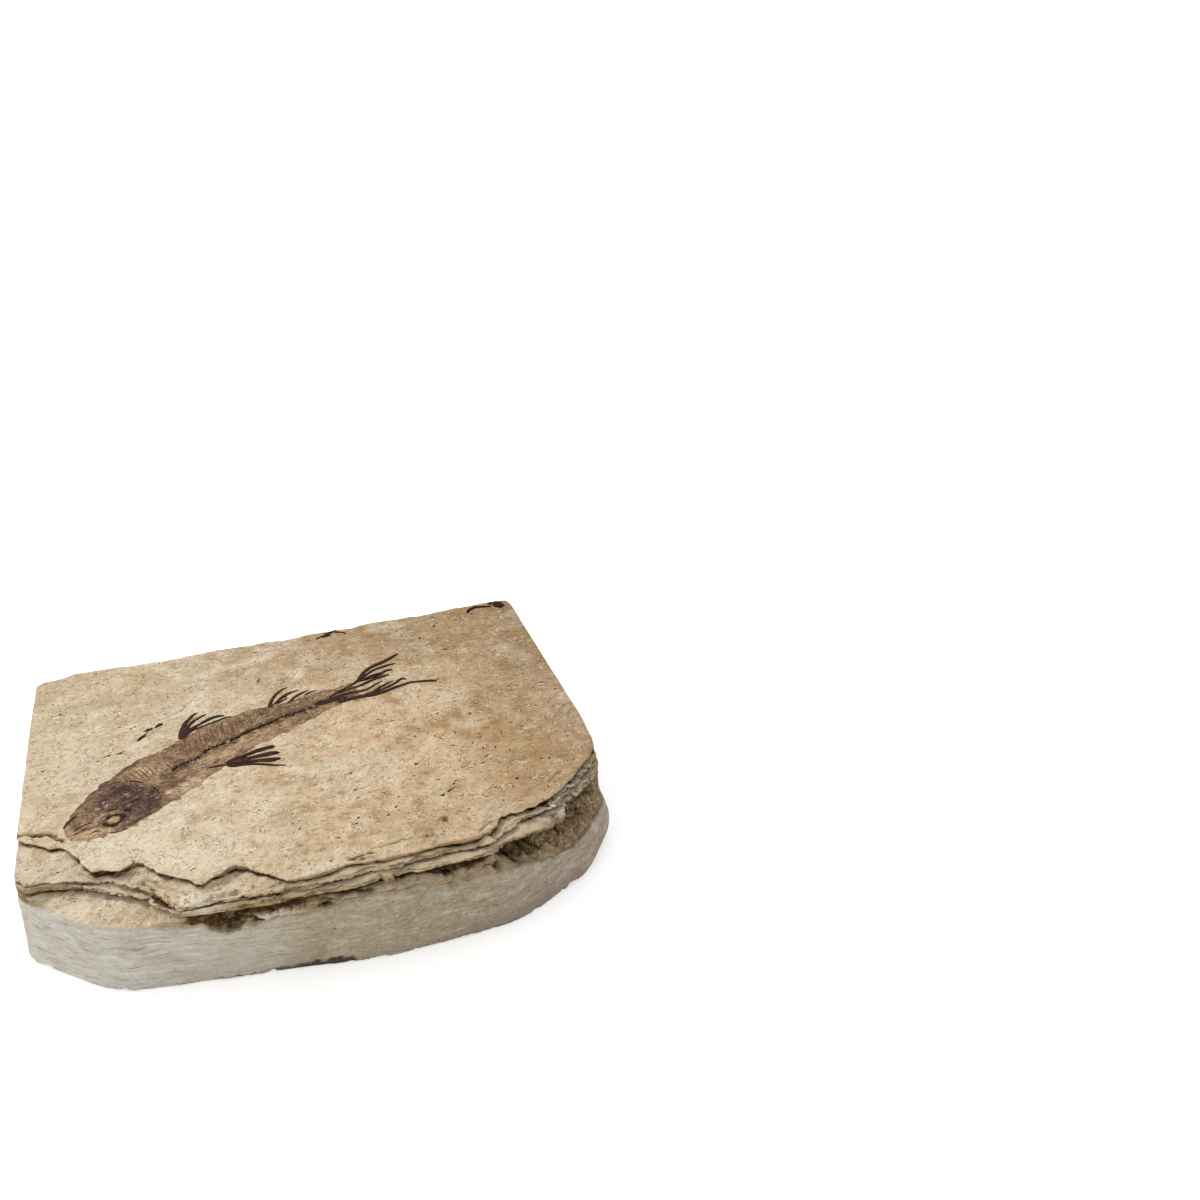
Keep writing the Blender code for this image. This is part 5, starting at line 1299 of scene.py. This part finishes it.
DARK_FLECKS = [       # loose dark grains and marks in the split face: x, y, length, turn
    (-40.7, 7.8, 0.8, 20), (-28.6, 17.4, 1, 45), (45.1, -23.7, 1, 60), (36, -16, 1, 70),
    (33.4, -15.5, 1.2, 70), (38.5, -18, 0.9, 60), (48.2, -25.8, 0.8, 50), (49.4, -25.8, 0.7, 60),
    (33.5, -18.4, 1.6, 40), (27.5, 0.6, 1, 20), (25, 8.7, 0.8, 60), (35, 38.8, 1.3, 50),
    (34.6, 38.2, 0.9, 10), (-7.3, 28.4, 1.6, 65), (-11.6, 31.8, 0.6, 20), (-24.6, -16.6, 0.6, 10),
    (-22.9, -25.3, 0.7, 60), (-23.8, -26, 0.5, 30), (44, 22, 0.5, 0), (24.2, 31.3, 0.6, 80),
    (14.4, -25.6, 0.8, 30), (13.4, -28.4, 1, 45), (6.9, -20.2, 1.2, 65), (18.4, -19.9, 0.8, 10),
    (-21, -9, 1, 35), (32, -12.8, 0.8, 70), (30.6, -20.3, 0.7, 60), (28, -18.4, 0.6, 20),
    (-4.6, -28.5, 0.9, 40), (-5.6, -26.4, 0.8, 30), (5.4, -30.6, 1.2, 20), (6.2, -29.2, 1, 40),
    (4.4, -28.6, 0.8, 10), (3.6, -24, 0.6, 50), (10.2, -12.9, 0.6, 70), (46.2, -12.4, 0.9, 70),
    (43, -10.6, 0.8, 20), (40.2, -14.8, 0.7, 40), (38.6, -11, 0.8, 60), (36.4, -8.4, 0.8, 20),
    (41.2, -8.4, 1.2, 10), (44.8, -9, 0.9, 30), (33.8, -11.6, 0.8, 50), (31.8, -9.8, 0.6, 30),
    (47.2, -6, 0.6, 60), (0.8, -17.8, 0.8, 60), (-0.4, -21.8, 0.6, 20), (52, 19, 0.6, 70),
    (37.8, 3.2, 0.5, 20), (13.2, 39.8, 0.6, 40), (-37, 24.4, 0.8, 30), (-44.4, 24.2, 1, 40),
    (-16, 22, 0.7, 50), (-14.8, 20.8, 0.6, 30), (-33.6, 18.6, 0.8, 60), (19.6, -27.4, 0.8, 50),
    (24, -27, 1.6, 38), (29.8, -30.6, 0.7, 60), (21.4, -35, 1.4, -10), (21.2, -35.9, 1.2, 40),
]


def along_backbone():
    """Slanted, clumped vertebrae along the backbone, and short spines to both sides of it."""
    chance = random.Random(5)
    line = smooth_line([(*p, 1.0) for p in BACKBONE], 0.8)
    pieces, spines = [], []
    for i in range(1, len(line) - 1):
        place = line[i, :2]
        run = line[i + 1, :2] - line[i - 1, :2]
        run /= np.linalg.norm(run)
        aside = np.array([-run[1], run[0]])
        x = place[0]
        dark = 1.0 if -15 < x < -5.5 or -4.2 < x < 1.4 else 0.8
        if chance.random() < 0.4 + 0.6 * dark:
            slant = run * 0.6 + aside * chance.choice((0.8, 0.8, -0.6))
            a = place - slant * chance.uniform(0.4, 0.7)
            b = place + slant * chance.uniform(0.5, 0.9)
            wide = chance.uniform(0.45, 0.95) * dark
            pieces.append([(*a, wide * 0.6), (*(a + b) / 2, wide), (*b, wide * 0.5)])
        for direction in (1, -1):
            if chance.random() < 0.25:
                continue
            reach = chance.uniform(*((1.2, 2.6) if i / len(line) > 0.3 else (0.8, 1.6)))
            start = place + aside * direction * 0.2
            lean = run * reach * chance.uniform(0.7, 1.1)
            tip = start + aside * direction * reach * 0.75 + lean
            middle = (start + tip) / 2 + aside * direction * 0.15
            wide = chance.uniform(0.22, 0.42)
            spines.append([(*start, wide), (*middle, wide), (*tip, 0.1)])
    return pieces, spines


def belly_ribs():
    """Fine ribs from the backbone to the belly edge, close together and partly worn away."""
    chance = random.Random(9)
    ribs = []
    for i in range(RIB_COUNT):
        x = -26.0 + i * RIB_STEP
        root_y = np.interp(x + 1.2, *np.array(BACKBONE).T)
        tip_y = np.interp(x, [-32, -28.3, -25.2, -21.5, -16, -11], [6.4, 7.6, 10.0, 13.0, 14.7, 16.4])
        low, high = chance.uniform(0.0, 0.35), chance.uniform(0.65, 1.0)
        bow = chance.uniform(-0.3, 0.3)
        ribs.append([(x + 1.2 * (1 - t) + bow * math.sin(math.pi * t) + 0.5 * t * t,
                      root_y + (tip_y - root_y) * t, chance.uniform(0.16, 0.34))
                     for t in (low, (low + high) / 2, high)])
    return ribs


def flecks():
    """Short dark grains at set places, and many smaller ones scattered more thickly to the right."""
    chance = random.Random(21)
    marks = list(DARK_FLECKS)
    while len(marks) < FLECK_COUNT:
        x, y = chance.uniform(-53, 53), chance.uniform(-39, 43)
        if chance.random() > 0.25 + 0.75 * (x + 53) / 106:
            continue
        on_ledges = x < -14 and y < -30 or x > 36 and y < -60 + x * 0.8
        on_fish = -46 < x < 6 and abs(y - 0.48 * x - 6) < 13
        if on_ledges or on_fish:
            continue
        marks.append((x, y, chance.uniform(0.25, 0.8) ** 1.2, chance.gauss(38, 28)))
    lines = list(CLEFTS)
    for x, y, length, turn in marks:
        run = np.array([math.cos(math.radians(turn)), math.sin(math.radians(turn))]) * length / 2
        bend = np.array([-run[1], run[0]]) * chance.uniform(-0.3, 0.3)
        wide = chance.uniform(0.22, 0.4) * min(1, 0.5 + length / 2)
        stops = ((-run, 0.7), (bend, 1.0), (run, 0.5))
        lines.append([(*((x, y) + off), wide * part) for off, part in stops])
    return lines


def build_fish(ground):
    """The belly-up fish with its film, skull, backbone, ribs and fins, and the two scraps behind it."""
    skin = fossil_film()
    bone = fossil_bone("fossil_bone_dark", "#23130A", "#523925")
    rib = fossil_bone("fossil_rib_brown", "#4F3926", "#7A6046")
    vane = fossil_bone("fossil_fin_rays", "#2C1A10", "#5A412D")
    body = film(ground, "body_film", BODY_STATIONS, BODY_STAINS, BODY_OCHRE, skin, 0.48)
    tail = film(ground, "tail_film", TAIL_STATIONS, TAIL_STAINS, [], skin, 0.1, 0.05)
    vertebrae, spines = along_backbone()
    made = [
        body, tail,
        ridges(ground, "backbone", vertebrae, bone, 0.3, step=0.3, rough=0.2, wider=1.7),
        ridges(ground, "spines", spines, rib, 0.12, rough=0.3, wider=1.3),
        ridges(ground, "ribs", belly_ribs() + FRONT_RIBS, rib, 0.08, rough=0.4, wider=1.15),
        ridges(ground, "skull_and_eye_ring", SKULL_LINES, bone, 0.18, rough=0.45, wider=1.5),
        ridges(ground, "pelvic_fin", PELVIC_FIN, vane, 0.2, rough=0.12, wider=1.25),
        ridges(ground, "anal_fin", ANAL_FIN, vane, 0.18, rough=0.12, wider=1.25),
        ridges(ground, "dorsal_fin", DORSAL_FIN, vane, 0.25, rough=0.08, wider=1.15),
        ridges(ground, "tail_fin", TAIL_FIN, vane, 0.22, rough=0.15, wider=1.15),
    ]
    for piece in made:
        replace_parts(piece, "fish_fossil")
    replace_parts(ridges(ground, "fin_scrap_rays", FIN_SCRAP, vane, 0.25, rough=0.5), "fin_scrap")
    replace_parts(ridges(ground, "bone_scrap_wedge", BONE_SCRAP, bone, 0.3, rough=0.5), "bone_scrap")
    ridges(ground, "dark_grains", flecks(), bone, 0.05, step=0.2, around=6, rough=0.4)


# Floor, light and camera

FOCAL_PIXELS = 1194.1       # focal length in pixels, for a view 1200 wide
VIEW_WIDTH = 1200
CAMERA_PLACE = (-5.85, -213.45, 158.65)
CAMERA_RIGHT = (0.9454, -0.3250, -0.0250)
CAMERA_UP = (0.1725, 0.4340, 0.8842)
SENSOR_WIDTH = 36.0
LAMP_PLACE = (-0.45, 0.42, 0.8)         # metres


def build_stage():
    """A wide, pale, faintly glowing floor."""
    bm = bmesh.new()
    bmesh.ops.create_grid(bm, x_segments=1, y_segments=1, size=30.0)
    mesh = bpy.data.meshes.new("floor")
    bm.to_mesh(mesh)
    bm.free()
    floor = bpy.data.objects.new("floor", mesh)
    bpy.context.scene.collection.objects.link(floor)
    paint = bpy.data.materials.new("pale_floor")
    paint.use_nodes = True
    shader = paint.node_tree.nodes["Principled BSDF"]
    shader.inputs["Base Color"].default_value = linear("#FDFDFD")
    shader.inputs["Roughness"].default_value = 0.9
    shader.inputs["Specular IOR Level"].default_value = 0.0
    shader.inputs["Emission Color"].default_value = linear("#FFFFFF")
    shader.inputs["Emission Strength"].default_value = 0.33
    mesh.materials.append(paint)


def build_lights():
    """A white studio with one large soft lamp behind the left of the slab."""
    world = bpy.data.worlds.new("studio")
    world.use_nodes = True
    background = world.node_tree.nodes["Background"]
    background.inputs["Color"].default_value = (1, 1, 1, 1)
    background.inputs["Strength"].default_value = 0.88
    bpy.context.scene.world = world
    lamp = bpy.data.lights.new("soft_key", "AREA")
    lamp.shape = "DISK"
    lamp.size = 0.3
    lamp.energy = 7.5
    holder = bpy.data.objects.new("soft_key", lamp)
    holder.location = LAMP_PLACE
    holder.rotation_euler = (-Vector(LAMP_PLACE)).to_track_quat("-Z", "Y").to_euler()
    bpy.context.scene.collection.objects.link(holder)


def build_camera():
    """The camera, a little above the front of the slab and turned with it."""
    lens = bpy.data.cameras.new("camera")
    lens.sensor_width = SENSOR_WIDTH
    lens.lens = SENSOR_WIDTH * FOCAL_PIXELS / VIEW_WIDTH
    lens.clip_start = 0.01
    lens.clip_end = 100.0
    camera = bpy.data.objects.new("camera", lens)
    right = Vector(CAMERA_RIGHT).normalized()
    up = (Vector(CAMERA_UP) - right * right.dot(Vector(CAMERA_UP))).normalized()
    turn = Matrix((right, up, right.cross(up))).transposed()
    camera.matrix_world = Matrix.Translation(Vector(CAMERA_PLACE) * MM) @ turn.to_4x4()
    bpy.context.scene.collection.objects.link(camera)
    bpy.context.scene.camera = camera


outline = Outline(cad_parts["limestone_slab"])
skin = build_stone(outline)
paint_stone(skin)
stone = finish_piece(skin, "split_stone", limestone(), sharp=40)
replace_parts(stone, "limestone_slab")
build_fish(Ground(stone))
bpy.context.scene.view_settings.view_transform = "Standard"
build_stage()
build_lights()
build_camera()
